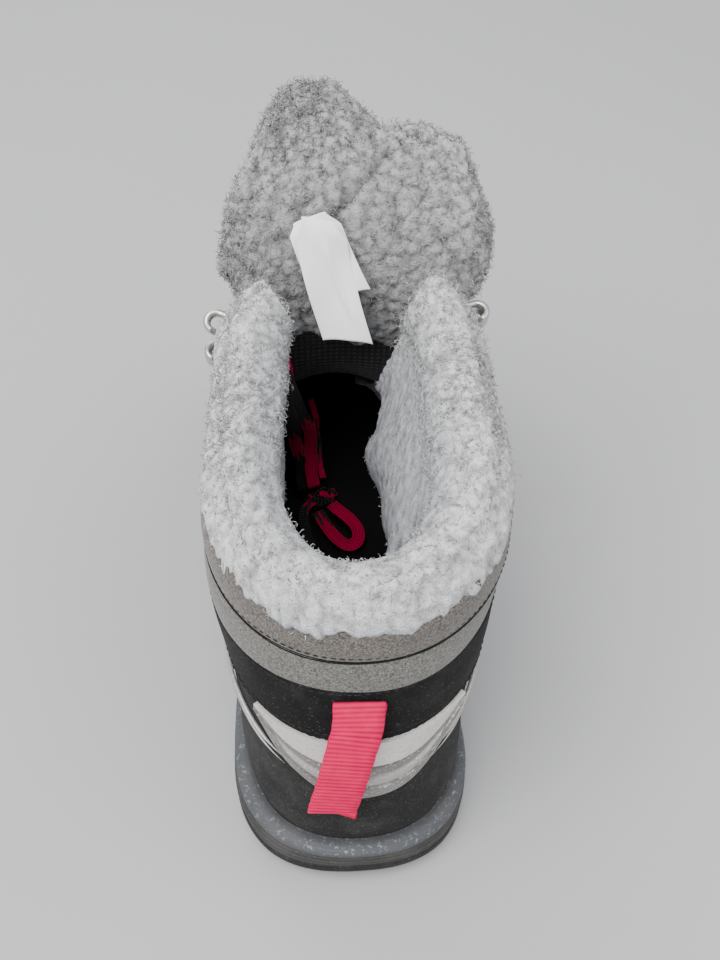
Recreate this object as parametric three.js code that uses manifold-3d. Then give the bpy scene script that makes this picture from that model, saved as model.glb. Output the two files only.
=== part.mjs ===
// Snow boot for the right foot, standing empty and unlaced on its sole.
// Millimetres, +Z up, +Y towards the toe, +X towards the outer side of the foot.
// The origin lies on the ground under the middle of the heel.
import * as THREE from 'three';
import { mergeVertices } from 'three/addons/utils/BufferGeometryUtils.js';
import Module from 'manifold-3d';

const wasm = await Module();
wasm.setup();
const boot = new THREE.Group();

// ---------------------------------------------------------------- driving sizes
const CLEARANCE = 0.3; // between pieces that touch
const LUG_DEPTH = 4.5;
const TREAD_PLATE = 4.5;
const TOE_SPRING = 12;
const ARCH_RISE = 3;
const LIP_BACK = 20; // height of the sole's upper edge at the heel
const LIP_TOE = 34;
const INSOLE_THICK = 4;
const OVERLAY = 2; // how far the moulded overlays stand proud
const LACE_WIDTH = 6.5;
const LACE_THICK = 2;

// How finely each side of a ring is divided: round the toe, along the foot, round the heel.
const TOE_STEPS = 8;
const FOOT_STEPS = 6;
const HEEL_STEPS = 7;
const ROW_STEPS = 2; // rings between two rows of the section table

// Each row is one ring round the foot, from the sole's seam to the collar.
// zb zf: height at the back and at the front, sag: how far the middle hangs below that line.
// yb yf: rearmost and foremost point, yH yB: where heel and toe rounding begin.
// hM hL bM bL: half widths at heel and ball, inner (M) and outer (L) side, wM: waist on the inner side.
// pb pf: roundness of heel and toe, cb cf: sideways shift at heel and toe.
// tM tL tB: wall thickness on the inner side, the outer side and the back, fleece included.
const SECTIONS = table(
  [
    'zb', 'zf', 'sag', 'yb', 'yf', 'yH', 'yB', 'hM', 'hL', 'bM', 'bL', 'wM', 'pb', 'pf', 'cb', 'cf',
    'tM', 'tL', 'tB',
  ],
  [
    [16, 24, 4, -33, 234, 6, 158, 34, 35, 43, 45, 8, 2.2, 2.3, 0, -5, 5, 5, 5], // seam with the sole
    [25, 36, 3, -35, 236, 6, 156, 36, 37, 46, 48, 6, 2.2, 2.3, 0, -5, 5, 5, 5], // above the sole's edge
    [35, 50, 2, -36, 232, 7, 150, 37, 38, 45, 46, 4, 2.1, 2.2, 0, -5, 5, 5, 6], // side of the toe box
    [45, 60, 1, -36.5, 221, 8, 138, 37, 38, 41, 43, 3, 2.1, 2.1, 0, -4, 5, 6, 7], // top of the toe box
    [54, 68.5, 0, -37, 203, 8, 124, 37, 38, 38, 40, 2, 2.1, 2, 0, -3, 7, 8, 8], // vamp
    [65, 81, 0, -37, 179, 9, 104, 38, 39, 36, 38, 1, 2.1, 2, 0, -2, 10, 12, 10], // instep
    [77, 93, 0, -36.5, 155, 11, 86, 39, 41, 37, 39, 0, 2.1, 2.1, 0, 0, 14, 18, 12], // above the heel counter
    [89, 104, 0, -36, 139, 13, 74, 41, 43, 40, 42, 0, 2.1, 2.3, 0, 1, 17, 22, 13], // ankle
    [100, 117, 0, -36, 127, 15, 68, 43, 44.5, 43, 44, 0, 2.1, 2.5, 0, 1, 19, 23, 14], // lower suede band
    [115, 134, 0, -37, 118, 17, 62, 44, 46, 43, 45, 0, 2.1, 2.6, 1, 2, 19, 22, 15], // upper suede band
    [127, 148, 0, -37, 109, 18, 60, 43, 45.5, 41, 44, 0, 2.1, 2.6, 1, 3, 19, 21, 15], // collar
    [135, 157, 0, -35.5, 103, 18, 58, 40.5, 43.5, 39, 42, 0, 2.1, 2.6, 1, 3, 17, 19, 14], // rim
  ],
);

// The sole's outline, at the ground and at its upper edge.
const SOLE_RINGS = table(
  ['yb', 'yf', 'yH', 'yB', 'hM', 'hL', 'bM', 'bL', 'wM', 'pb', 'pf', 'cb', 'cf'],
  [
    [-39, 241, 6, 158, 41, 40, 50, 52, 6, 2.4, 2.3, 0, -5],
    [-38, 239, 6, 157, 39, 39.5, 48.5, 50.5, 6, 2.3, 2.3, 0, -5],
  ],
);

// The throat's edge from the side, from its lower end on the instep to the collar's front.
const THROAT_EDGE = table(
  ['y', 'z'],
  [[190, 62], [170, 70], [148, 80], [130, 90], [116, 104], [104, 123], [95, 142], [88, 175]],
);
// Its half width from above.
const THROAT_WIDTH = table(
  ['y', 'half'],
  [[189, 5], [185, 9], [168, 14], [152, 18], [138, 22], [126, 29], [117, 42], [110, 60]],
);

// The tongue from its root on the vamp to its free end: the middle of its outer face, its half widths,
// how far the edges fall back round the foot, its thickness and the lean of its face from upright.
const TONGUE = table(
  ['y', 'z', 'halfM', 'halfL', 'fall', 'thick', 'lean'],
  [
    [187, 61, 16, 16, 5, 5, 62],
    [166, 75, 20, 20, 8, 7, 58],
    [148, 87, 24, 24, 10, 8, 54],
    [133, 98, 27, 27, 11, 9, 48],
    [121, 111, 28, 28, 7, 9, 32],
    [117, 127, 31, 35, 3, 9, 8],
    [117, 144, 37, 50, 2, 12, -10],
    [121, 163, 41, 56, 1, 14, -22],
    [129, 183, 41, 56, 0, 13, -26],
    [138, 202, 38, 54, 0, 10, -28],
  ],
);

// The tongue's outline seen from behind, from its root up the inner side, over both lobes and down again.
const TONGUE_OUTLINE = table(
  ['x', 'z'],
  [
    [-40, 40], [-40, 100], [-27, 113], [-26, 128], [-33, 145], [-38, 163], [-34, 181], [-23, 194],
    [-9, 203], [3, 202], [10, 195], [16, 189], [28, 189], [42, 184], [51, 174], [54, 160], [51, 144],
    [44, 128], [44, 40],
  ],
);

const THROAT_GAP = 23; // half the way in between the two front edges of the collar

// Where lace loops and hooks stand, seen from above, the same on both sides.
const LACE_LOOPS = table(['x', 'y'], [[20, 170], [25, 153], [30, 136]]);
const HOOKS = table(['row', 's'], [[8.4, 0.68], [9.7, 0.72]]);
const HARDWARE_LIFT = 0.5; // from the leather to the foot of a loop or hook
const LACE_LIFT = 3.8; // from the leather to the middle of the lace
const LACE_HUMP = 2; // how high a bar of lace rises over the throat

// Free lace, tucked into the boot on the inner side: two runs to the knot, a bow loop and two tails.
const CORD_RADIUS = 1.2;
const CORDS = {
  lace_run_a: [
    [-20, 131, 99], [-26, 124, 110], [-30, 114, 120], [-30, 108, 126], [-25.5, 105.6, 127],
    [-20.5, 103, 124], [-18, 100, 112], [-15, 106, 96], [-13, 114, 81], [-10, 122, 66], [-10, 126, 52],
    [-10, 126, 42], [-9, 124, 34],
  ],
  lace_run_b: [
    [20, 131, 99], [8, 129, 105], [-8, 126, 111], [-22, 121, 119], [-29.5, 113, 127], [-30, 105.3, 132.5],
    [-25, 103, 133], [-20, 99.2, 129.5], [-19, 94, 116], [-18.5, 97, 101], [-17, 106, 84], [-16, 118, 64],
    [-14, 125, 48], [-14, 127, 38], [-13, 126.5, 31],
  ],
  lace_tail_a: [[-9, 151, 60], [-7, 148, 53], [-7, 145, 47], [-6, 141, 42], [-6, 134, 38], [-5, 128, 35]],
  lace_bow: [
    [-8, 115, 28], [-5, 109, 26], [-1, 102, 25], [4, 97, 25], [8, 99, 26], [8, 105, 27], [5, 110, 28],
    [1, 114, 29], [-2, 118, 29],
  ],
  lace_tail_b: [[-13, 119, 27], [-14, 113, 25.5], [-13, 106, 24.5], [-11, 98, 24]],
};
const KNOT = { x: -6, y: 124, z: 28, size: 4.6 };

// ---------------------------------------------------------------- small helpers
function table(names, rows) {
  return rows.map((row) => Object.fromEntries(names.map((name, i) => [name, row[i]])));
}

function blendRows(rows, at) {
  const i = Math.min(Math.floor(at), rows.length - 2);
  const t = at - i;
  const pick = (k) => rows[Math.max(0, Math.min(rows.length - 1, k))];
  const [a, b, c, d] = [pick(i - 1), pick(i), pick(i + 1), pick(i + 2)];
  const out = {};
  for (const key of Object.keys(b)) {
    const slopeB = (c[key] - a[key]) / 2;
    const slopeC = (d[key] - b[key]) / 2;
    const [t2, t3] = [t * t, t * t * t];
    out[key] = (2 * t3 - 3 * t2 + 1) * b[key] + (t3 - 2 * t2 + t) * slopeB
      + (3 * t2 - 2 * t3) * c[key] + (t3 - t2) * slopeC;
  }
  return out;
}

// Straight lines between the rows of a small table, by the value of one column.
function along(rows, key, value, wanted) {
  const falling = rows[0][key] > rows[rows.length - 1][key];
  const sorted = falling ? [...rows].reverse() : rows;
  let i = sorted.findIndex((row) => row[key] >= value);
  if (i < 0) i = sorted.length - 1;
  i = Math.max(1, i);
  const [a, b] = [sorted[i - 1], sorted[i]];
  const t = Math.max(0, Math.min(1, (value - a[key]) / (b[key] - a[key])));
  return a[wanted] + (b[wanted] - a[wanted]) * t;
}

// A point of a ring. s runs from 0 at the toe over 1 and 2 to 3 at the back of the heel.
function ringXY(row, side, s) {
  const outer = side > 0;
  const heel = outer ? row.hL : row.hM;
  const ball = outer ? row.bL : row.bM;
  const waist = outer ? 0 : row.wM;
  let x;
  let y;
  if (s <= 1) {
    const a = (1 - s) * Math.PI / 2;
    x = ball * Math.pow(Math.max(0, Math.cos(a)), 2 / row.pf);
    y = row.yB + (row.yf - row.yB) * Math.pow(Math.sin(a), 2 / row.pf);
  } else if (s <= 2) {
    const t = 2 - s;
    x = heel + (ball - heel) * t * t * (3 - 2 * t) - waist * Math.sin(Math.PI * t) ** 2;
    y = row.yH + (row.yB - row.yH) * t;
  } else {
    const a = (3 - s) * Math.PI / 2;
    x = heel * Math.pow(Math.max(0, Math.sin(a)), 2 / row.pb);
    y = row.yH - (row.yH - row.yb) * Math.pow(Math.max(0, Math.cos(a)), 2 / row.pb);
  }
  const t = (y - row.yb) / (row.yf - row.yb);
  return { x: side * x + row.cb + (row.cf - row.cb) * t, y, t };
}

// The stations of one ring, from the toe along the outer side to the heel and back along the inner side.
function stations() {
  const half = [];
  for (let i = 0; i < TOE_STEPS; i += 1) half.push(i / TOE_STEPS);
  for (let i = 0; i < FOOT_STEPS; i += 1) half.push(1 + i / FOOT_STEPS);
  for (let i = 0; i <= HEEL_STEPS; i += 1) half.push(2 + i / HEEL_STEPS);
  const outer = half.map((s) => ({ side: 1, s }));
  const inner = half.slice(1, -1).reverse().map((s) => ({ side: -1, s }));
  return [...outer, ...inner];
}
const RING = stations();

function footPoint(at, side, s) {
  const row = blendRows(SECTIONS, at);
  const { x, y, t } = ringXY(row, side, s);
  return new THREE.Vector3(x, y, row.zb + (row.zf - row.zb) * t - row.sag * Math.sin(Math.PI * t));
}

function footNormal(at, side, s) {
  const step = 0.04;
  const last = SECTIONS.length - 1;
  const above = footPoint(Math.min(last, at + step), side, s);
  const up = above.sub(footPoint(Math.max(0, at - step), side, s));
  const nudge = (d) => {
    const moved = s + d;
    if (moved < 0) return footPoint(at, -side, -moved);
    if (moved > 3) return footPoint(at, -side, 6 - moved);
    return footPoint(at, side, moved);
  };
  const round = nudge(step).sub(nudge(-step));
  return up.cross(round).multiplyScalar(side).normalize();
}

function wallAt(at, side, s) {
  const row = blendRows(SECTIONS, at);
  const flank = side > 0 ? row.tL : row.tM;
  const back = Math.max(0, s - 2);
  return flank + (row.tB - flank) * back * back * (3 - 2 * back);
}

// The upper's surface moved out by `grow`, or to the inside of its wall, as rings of points.
function footRings(grow, inside = false, first = 0, last = SECTIONS.length - 1) {
  const rings = [];
  const count = Math.round((last - first) * ROW_STEPS);
  for (let r = 0; r <= count; r += 1) {
    const at = first + (last - first) * r / count;
    rings.push(RING.map(({ side, s }) => {
      const out = inside ? grow - wallAt(at, side, s) : grow;
      return footPoint(at, side, s).addScaledVector(footNormal(at, side, s), out);
    }));
  }
  return rings;
}

// ---------------------------------------------------------------- meshes and solids
function meshFrom(points, faces) {
  const geometry = new THREE.BufferGeometry();
  const numbers = points.flatMap((p) => [p.x, p.y, p.z]);
  geometry.setAttribute('position', new THREE.Float32BufferAttribute(numbers, 3));
  geometry.setIndex(faces.flat());
  return geometry;
}

function ladder(count, faces, start, flip) {
  // Rungs between the two sides of a ring close it with level crossings.
  const other = (i) => (count - i) % count;
  for (let i = 0; i < count / 2; i += 1) {
    const [a, b, c, d] = [i, i + 1, other(i + 1), other(i)].map((k) => k + start);
    const quad = [];
    if (a !== d) quad.push([a, b, d]);
    if (b !== c) quad.push([b, c, d]);
    quad.forEach((face) => faces.push(flip ? [face[0], face[2], face[1]] : face));
  }
}

// A closed form from rings that lie one above another.
function loft(rings) {
  const n = rings[0].length;
  const faces = [];
  for (let r = 0; r + 1 < rings.length; r += 1) {
    for (let i = 0; i < n; i += 1) {
      const j = (i + 1) % n;
      const [a, b, c, d] = [r * n + i, r * n + j, (r + 1) * n + j, (r + 1) * n + i];
      faces.push([a, c, b], [a, d, c]);
    }
  }
  ladder(n, faces, 0, false);
  ladder(n, faces, (rings.length - 1) * n, true);
  return meshFrom(rings.flat(), faces);
}

// A closed skin from rings that follow one another all the way round a wall.
function loopLoft(rings) {
  const n = rings[0].length;
  const faces = [];
  for (let r = 0; r < rings.length; r += 1) {
    const next = (r + 1) % rings.length;
    for (let i = 0; i < n; i += 1) {
      const j = (i + 1) % n;
      const [a, b, c, d] = [r * n + i, r * n + j, next * n + j, next * n + i];
      faces.push([a, c, b], [a, d, c]);
    }
  }
  return meshFrom(rings.flat(), faces);
}

function solid(geometry) {
  const bare = geometry.clone();
  bare.deleteAttribute('normal');
  bare.deleteAttribute('uv');
  const merged = mergeVertices(bare, 1e-4);
  return new wasm.Manifold(new wasm.Mesh({
    numProp: 3,
    vertProperties: Float32Array.from(merged.attributes.position.array),
    triVerts: Uint32Array.from(merged.index.array),
  }));
}

function biggest(manifold) {
  const pieces = manifold.decompose();
  return pieces.reduce((best, piece) => (piece.volume() > best.volume() ? piece : best));
}

function toGeometry(manifold) {
  const { vertProperties, triVerts } = manifold.getMesh();
  const geometry = new THREE.BufferGeometry();
  geometry.setAttribute('position', new THREE.BufferAttribute(Float32Array.from(vertProperties), 3));
  geometry.setIndex(new THREE.BufferAttribute(Uint32Array.from(triVerts), 1));
  geometry.computeVertexNormals();
  return geometry;
}

function add(name, shape, material) {
  const geometry = shape.isBufferGeometry ? shape : toGeometry(shape);
  const mesh = new THREE.Mesh(geometry, material);
  mesh.name = name;
  boot.add(mesh);
  return mesh;
}

function finish(color, roughness, metalness = 0) {
  return new THREE.MeshStandardMaterial({ color, roughness, metalness });
}
const SMOKY_RUBBER = finish(0x58544f, 0.55);
const BLACK_RUBBER = finish(0x1b1b1c, 0.6);
const SUEDE = finish(0x8a857c, 0.95);
const FLEECE = finish(0xb8b8ba, 1);
const SILVER = finish(0xb4b2ae, 0.35);
const METAL = finish(0xb9b7b4, 0.3, 0.9);
const WEBBING = finish(0xe8205c, 0.85);
const LABEL = finish(0xe8e6e2, 0.7);

// An outline in one plane, pushed through the boot in the direction of the third axis.
const AXES = {
  z: (x, y, z) => new THREE.Vector3(x, y, z),
  x: (y, z, x) => new THREE.Vector3(x, y, z),
  y: (z, x, y) => new THREE.Vector3(x, y, z),
};
function prism(outline, from, to, axis = 'z') {
  const shape = new THREE.Shape(outline.map(([a, b]) => new THREE.Vector2(a, b)));
  const body = new THREE.ExtrudeGeometry(shape, { depth: to - from, bevelEnabled: false });
  const position = body.attributes.position;
  for (let i = 0; i < position.count; i += 1) {
    const p = AXES[axis](position.getX(i), position.getY(i), position.getZ(i) + from);
    position.setXYZ(i, p.x, p.y, p.z);
  }
  return solid(body);
}

// ---------------------------------------------------------------- sole
function ground(y) {
  const heelEnd = 60;
  const archEnd = 118;
  const springStart = 190;
  const soleToe = SOLE_RINGS[0].yf;
  const heelBevel = -28;
  const soleBack = SOLE_RINGS[0].yb;
  if (y < heelBevel) return 2.5 * ((heelBevel - y) / (heelBevel - soleBack)) ** 1.5;
  if (y > heelEnd && y < archEnd) {
    return ARCH_RISE * Math.sin(Math.PI * (y - heelEnd) / (archEnd - heelEnd)) ** 2;
  }
  if (y > springStart) return TOE_SPRING * ((y - springStart) / (soleToe - springStart)) ** 1.6;
  return 0;
}

function lip(y) {
  const t = (y - SOLE_RINGS[0].yb) / (SOLE_RINGS[0].yf - SOLE_RINGS[0].yb);
  return LIP_BACK + (LIP_TOE - LIP_BACK) * Math.max(0, t) ** 1.6;
}

function soleRing(blend, height) {
  const row = blendRows(SOLE_RINGS, blend);
  return RING.map(({ side, s }) => {
    const { x, y } = ringXY(row, side, s);
    return new THREE.Vector3(x, y, height(y));
  });
}

const plateTop = (y) => ground(y) + LUG_DEPTH + TREAD_PLATE;

// Lug blocks in rows: y of the row, its depth along the foot, and how many blocks it has across.
const LUG_ROWS = table(
  ['y', 'deep', 'blocks', 'half'],
  [
    [-28, 9, 3, 18], [-15, 11, 4, 33], [0, 11, 3, 35], [15, 11, 4, 35], [30, 11, 3, 34], [46, 11, 4, 33],
    [122, 10, 4, 40], [137, 11, 5, 43], [153, 11, 4, 44], [169, 11, 5, 44], [185, 11, 4, 42],
    [201, 11, 5, 37], [217, 10, 4, 30], [230, 8, 3, 18],
  ],
);

function lug(x, y, wide, deep) {
  const body = new THREE.BoxGeometry(wide, deep, 1, 1, 1, 1);
  const position = body.attributes.position;
  for (let i = 0; i < position.count; i += 1) {
    const taper = position.getZ(i) > 0 ? 1.12 : 1;
    const px = x + position.getX(i) * taper;
    const py = y + position.getY(i) * taper;
    const pz = position.getZ(i) > 0 ? ground(py) + LUG_DEPTH + 1 : ground(py);
    position.setXYZ(i, px, py, pz);
  }
  return solid(body);
}

function makeOutsole() {
  let body = solid(loft([
    soleRing(0.3, (y) => ground(y) + LUG_DEPTH),
    soleRing(0, (y) => ground(y) + LUG_DEPTH + 2),
    soleRing(0, plateTop),
  ]));
  const gap = 5;
  for (const row of LUG_ROWS) {
    const shift = -5 * (row.y + 39) / 280;
    const pitch = (2 * row.half + gap) / row.blocks;
    for (let i = 0; i < row.blocks; i += 1) {
      const x = shift - row.half - gap / 2 + pitch * (i + 0.5);
      body = body.add(lug(x, row.y, pitch - gap, row.deep));
    }
  }
  return body;
}

function feather(y) {
  const row = SECTIONS[0];
  const t = (y - row.yb) / (row.yf - row.yb);
  return row.zb + (row.zf - row.zb) * t - row.sag * Math.sin(Math.PI * t);
}

// The upper's outer form as one filled body, moved out by `grow` and down by `drop`.
function filledForm(grow, drop = 0, last = SECTIONS.length - 1) {
  const rings = footRings(grow, false, 0, last);
  rings[0].forEach((p) => { p.z -= drop; });
  return solid(loft(rings));
}

function makeMidsole() {
  const body = solid(loft([
    soleRing(0, (y) => plateTop(y) + CLEARANCE),
    soleRing(0.5, (y) => (plateTop(y) + CLEARANCE + lip(y)) / 2),
    soleRing(1, lip),
  ]));
  return body.subtract(filledForm(CLEARANCE, CLEARANCE, 4));
}

function makeInsole() {
  const rings = footRings(-CLEARANCE, true, 0, 1);
  const base = rings[0];
  const level = (rise) => base.map((p) => new THREE.Vector3(p.x, p.y, feather(p.y) + rise));
  return solid(loft([level(0), level(INSOLE_THICK)]));
}

// ---------------------------------------------------------------- upper
// The space in front of the throat's edge and between the collar's two front edges. It shrinks by `grow`.
function throatCut(grow = 0) {
  const front = 300;
  const top = 260;
  const edge = THROAT_EDGE.map(({ y, z }) => [y + grow, z + grow]);
  const corners = [[edge[edge.length - 1][0], top], [front, top], [front, edge[0][1]]];
  const fromSide = prism([...edge, ...corners], -90, 90, 'x');
  const reach = THROAT_WIDTH.map(({ y, half }) => [half - grow, y - grow]);
  const right = [...reach, [60, 95], [60, 60]];
  const left = right.map(([x, y]) => [-x, y]).reverse();
  const fromAbove = prism([...right, ...left], 0, top, 'z');
  const halfGap = THROAT_GAP - grow;
  const [back, ahead] = [62, 125];
  const gap = [[-halfGap, back], [halfGap, back], [halfGap, ahead], [-halfGap, ahead]];
  const between = prism(gap, 95, top, 'z');
  return fromSide.intersect(fromAbove).add(between);
}

// The hollow wall, made thicker on both faces by `grow`, with its rounded collar.
function makeWall(grow) {
  const outer = footRings(grow);
  const inner = footRings(-grow, true);
  const last = SECTIONS.length - 1;
  const top = outer[outer.length - 1];
  const under = inner[inner.length - 1];
  const crown = [30, 65, 115, 150].map((degrees) => top.map((p, i) => {
    const a = degrees * Math.PI / 180;
    const { side, s } = RING[i];
    const middle = p.clone().add(under[i]).multiplyScalar(0.5);
    const reach = p.clone().sub(middle);
    const rise = footPoint(last, side, s).sub(footPoint(last - 0.2, side, s)).normalize();
    rise.add(new THREE.Vector3(0, 0, 1.2)).normalize().multiplyScalar(reach.length());
    return middle.addScaledVector(reach, Math.cos(a)).addScaledVector(rise, Math.sin(a) * 0.95);
  }));
  return solid(loopLoft([...outer, ...crown, ...inner.reverse()]));
}

const makeUpper = () => makeWall(0).subtract(throatCut());

// ---------------------------------------------------------------- tongue
const TONGUE_ACROSS = 10;
function tongueRings() {
  const rings = [];
  const count = (TONGUE.length - 1) * 2;
  for (let r = 0; r <= count; r += 1) {
    const row = blendRows(TONGUE, r / 2);
    const lean = row.lean * Math.PI / 180;
    const out = new THREE.Vector3(0, Math.cos(lean), Math.sin(lean));
    const ring = [];
    const place = (k, depth) => {
      const w = k / TONGUE_ACROSS;
      const x = (w < 0 ? row.halfM : row.halfL) * w * 2;
      const edge = Math.abs(2 * w);
      const thin = depth * (1 - 0.45 * edge ** 3);
      return new THREE.Vector3(x, row.y, row.z).addScaledVector(out, -row.fall * edge * edge - thin);
    };
    for (let k = -TONGUE_ACROSS / 2; k <= TONGUE_ACROSS / 2; k += 1) ring.push(place(k, 0));
    for (let k = TONGUE_ACROSS / 2; k >= -TONGUE_ACROSS / 2; k -= 1) ring.push(place(k, row.thick));
    rings.push(ring);
  }
  return rings;
}

function makeTongue() {
  const rings = tongueRings();
  const n = rings[0].length;
  const faces = [];
  for (let r = 0; r + 1 < rings.length; r += 1) {
    for (let i = 0; i < n; i += 1) {
      const j = (i + 1) % n;
      const [a, b, c, d] = [r * n + i, r * n + j, (r + 1) * n + j, (r + 1) * n + i];
      faces.push([a, c, b], [a, d, c]);
    }
  }
  const end = (rings.length - 1) * n;
  for (let i = 0; i < n / 2 - 1; i += 1) {
    const [a, b, c, d] = [i, i + 1, n - 2 - i, n - 1 - i];
    faces.push([a, b, c], [a, c, d]);
    faces.push([end + a, end + c, end + b], [end + a, end + d, end + c]);
  }
  const outline = TONGUE_OUTLINE.map(({ x, z }) => [z, x]);
  const body = solid(meshFrom(rings.flat(), faces)).intersect(prism(outline, 60, 230, 'y'));
  return biggest(body.subtract(makeWall(CLEARANCE).subtract(throatCut(CLEARANCE))));
}

// ---------------------------------------------------------------- overlays
// The space between two larger forms of the upper, above the sole's edge.
function overlaySkin(proud) {
  const skin = filledForm(CLEARANCE + proud).subtract(filledForm(CLEARANCE));
  const edge = [];
  for (let y = -60; y <= 260; y += 10) edge.push([y, lip(y) + CLEARANCE]);
  return skin.intersect(prism([...edge, [260, 200], [-60, 200]], -90, 90, 'x'));
}

function makeToeCap() {
  const back = 172;
  const crest = 197;
  const edge = [];
  for (let x = -60; x <= 60; x += 10) edge.push([x, crest - (crest - back) * (x / 46) ** 2]);
  return overlaySkin(OVERLAY).intersect(prism([[-60, 260], ...edge, [60, 260]], 0, 120, 'z'));
}

function makeHeelCounter() {
  const [reach, low, high, tip] = [34, 50.5, 76.5, 79.5];
  const upper = [];
  const lower = [];
  for (let i = 0; i <= 12; i += 1) {
    const w = -1 + i / 6;
    upper.push([high + (tip - high) * w * w, 1 + w * reach]);
    lower.push([low + (tip - low - 1) * Math.abs(w) ** 2.2, 1 + w * reach]);
  }
  return overlaySkin(OVERLAY).intersect(prism([...lower, ...upper.reverse()], -60, 5, 'y'));
}

function makeSideBadge() {
  const [y, z, halfLong, halfHigh] = [46, 119, 17, 12];
  const oval = [];
  for (let a = 0; a < 20; a += 1) {
    const turn = a * Math.PI / 10;
    const along = halfLong * Math.cos(turn);
    oval.push([y + along, z + halfHigh * Math.sin(turn) + 0.12 * along]);
  }
  return overlaySkin(OVERLAY + 0.6).intersect(prism(oval, 10, 80, 'x'));
}

// ---------------------------------------------------------------- straps and laces
// A flat band along a route. `looks` are the directions that its flat side faces.
function band(route, looks, width, thick) {
  const points = [];
  route.forEach((p, i) => {
    const before = route[Math.max(0, i - 1)];
    const after = route[Math.min(route.length - 1, i + 1)];
    const onward = after.clone().sub(before).normalize();
    const across = onward.clone().cross(looks[i]).normalize().multiplyScalar(width / 2);
    const out = across.clone().cross(onward).normalize().multiplyScalar(thick / 2);
    points.push(
      p.clone().add(across).add(out), p.clone().sub(across).add(out),
      p.clone().sub(across).sub(out), p.clone().add(across).sub(out),
    );
  });
  const faces = [[0, 1, 2], [0, 2, 3]];
  for (let r = 0; r + 1 < route.length; r += 1) {
    for (let i = 0; i < 4; i += 1) {
      const j = (i + 1) % 4;
      const [a, b, c, d] = [r * 4 + i, r * 4 + j, r * 4 + 4 + j, r * 4 + 4 + i];
      faces.push([a, c, b], [a, d, c]);
    }
  }
  const end = (route.length - 1) * 4;
  faces.push([end, end + 2, end + 1], [end, end + 3, end + 2]);
  return solid(meshFrom(points, faces));
}

// The row and the place round it where the upper stands above a point of the ground plan.
function footAbove(x, y) {
  const side = Math.sign(x) || 1;
  let best = { at: 6, s: 0.8, miss: Infinity };
  for (let reach = 1; reach > 0.001; reach /= 4) {
    const { at: atMiddle, s: sMiddle } = best;
    for (let i = -10; i <= 10; i += 1) {
      for (let j = -10; j <= 10; j += 1) {
        const at = Math.max(0, Math.min(SECTIONS.length - 1, atMiddle + 0.5 * reach * i));
        const s = Math.max(0, sMiddle + 0.08 * reach * j);
        const p = footPoint(at, side, s);
        const miss = (p.x - x) ** 2 + (p.y - y) ** 2;
        if (miss < best.miss) best = { miss, at, s };
      }
    }
  }
  return { point: footPoint(best.at, side, best.s), normal: footNormal(best.at, side, best.s) };
}

// One bar of lace from loop to loop: it lies on the leather and crosses the throat in a low hump.
function laceBar({ x, y }) {
  const past = 4;
  const edge = along(THROAT_WIDTH, 'y', y, 'half') + 0.6;
  const stand = (px) => {
    const { point, normal } = footAbove(px, y);
    return { point: point.addScaledVector(normal, LACE_LIFT), normal };
  };
  const [inner, outer] = [stand(-edge), stand(edge)];
  const across = (w) => {
    const point = inner.point.clone().lerp(outer.point, w);
    point.z += 4 * LACE_HUMP * w * (1 - w);
    return { point, normal: inner.normal.clone().lerp(outer.normal, w).normalize() };
  };
  const middle = [0.2, 0.4, 0.6, 0.8].map(across);
  const stops = [stand(-x - past), stand(-x), inner, ...middle, outer, stand(x), stand(x + past)];
  const [points, looks] = [stops.map((stop) => stop.point), stops.map((stop) => stop.normal)];
  const body = band(points, looks, LACE_WIDTH, LACE_THICK);
  return { across, body };
}

function makeLaces() {
  const bars = LACE_LOOPS.map(laceBar);
  let all = bars.map((bar) => bar.body).reduce((sum, body) => sum.add(body));
  for (let i = 0; i + 1 < bars.length; i += 1) {
    for (const [from, to] of [[0.15, 0.85], [0.85, 0.15]]) {
      const ends = [bars[i].across(from), bars[i + 1].across(to)];
      const diagonal = band(ends.map((e) => e.point), ends.map((e) => e.normal), LACE_WIDTH, LACE_THICK);
      all = all.add(diagonal);
    }
  }
  return all;
}

function tube(points, radius, sides, steps) {
  const path = new THREE.CatmullRomCurve3(points.map((p) => new THREE.Vector3(...p)));
  const round = new THREE.Shape();
  for (let i = 0; i < sides; i += 1) {
    const a = 2 * Math.PI * i / sides;
    if (i === 0) round.moveTo(radius, 0);
    else round.lineTo(radius * Math.cos(a), radius * Math.sin(a));
  }
  return new THREE.ExtrudeGeometry(round, { steps, bevelEnabled: false, extrudePath: path });
}

function makePullLoop() {
  const route = [
    [0, -38.5, 96], [0, -39.6, 88], [-1, -41, 80], [-2, -41.6, 70], [-3, -41.6, 60], [-4, -41, 50],
  ];
  const back = new THREE.Vector3(0, -1, 0);
  return band(route.map((p) => new THREE.Vector3(...p)), route.map(() => back), 15, 3.2);
}

function makeCareLabel() {
  const route = [[-4, 101.5, 172], [-3, 98.5, 160], [0, 94.5, 147], [4, 90.5, 133]];
  const back = new THREE.Vector3(0, -1, 0.3).normalize();
  return band(route.map((p) => new THREE.Vector3(...p)), route.map(() => back), 17, 1.2);
}

// ---------------------------------------------------------------- hooks and loops
const FOOT_PLATE = 1.4;

function makeLaceLoop() {
  const plate = new THREE.BoxGeometry(18, 6, FOOT_PLATE);
  plate.translate(0, 0, FOOT_PLATE / 2);
  const [half, top] = [7.2, 7];
  const route = [
    [-half, 0, 0.5], [-half, 0, 3.8], [-half + 1.8, 0, top],
    [half - 1.8, 0, top], [half, 0, 3.8], [half, 0, 0.5],
  ];
  return solid(plate).add(solid(tube(route, 1.2, 6, 8)));
}

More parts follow.
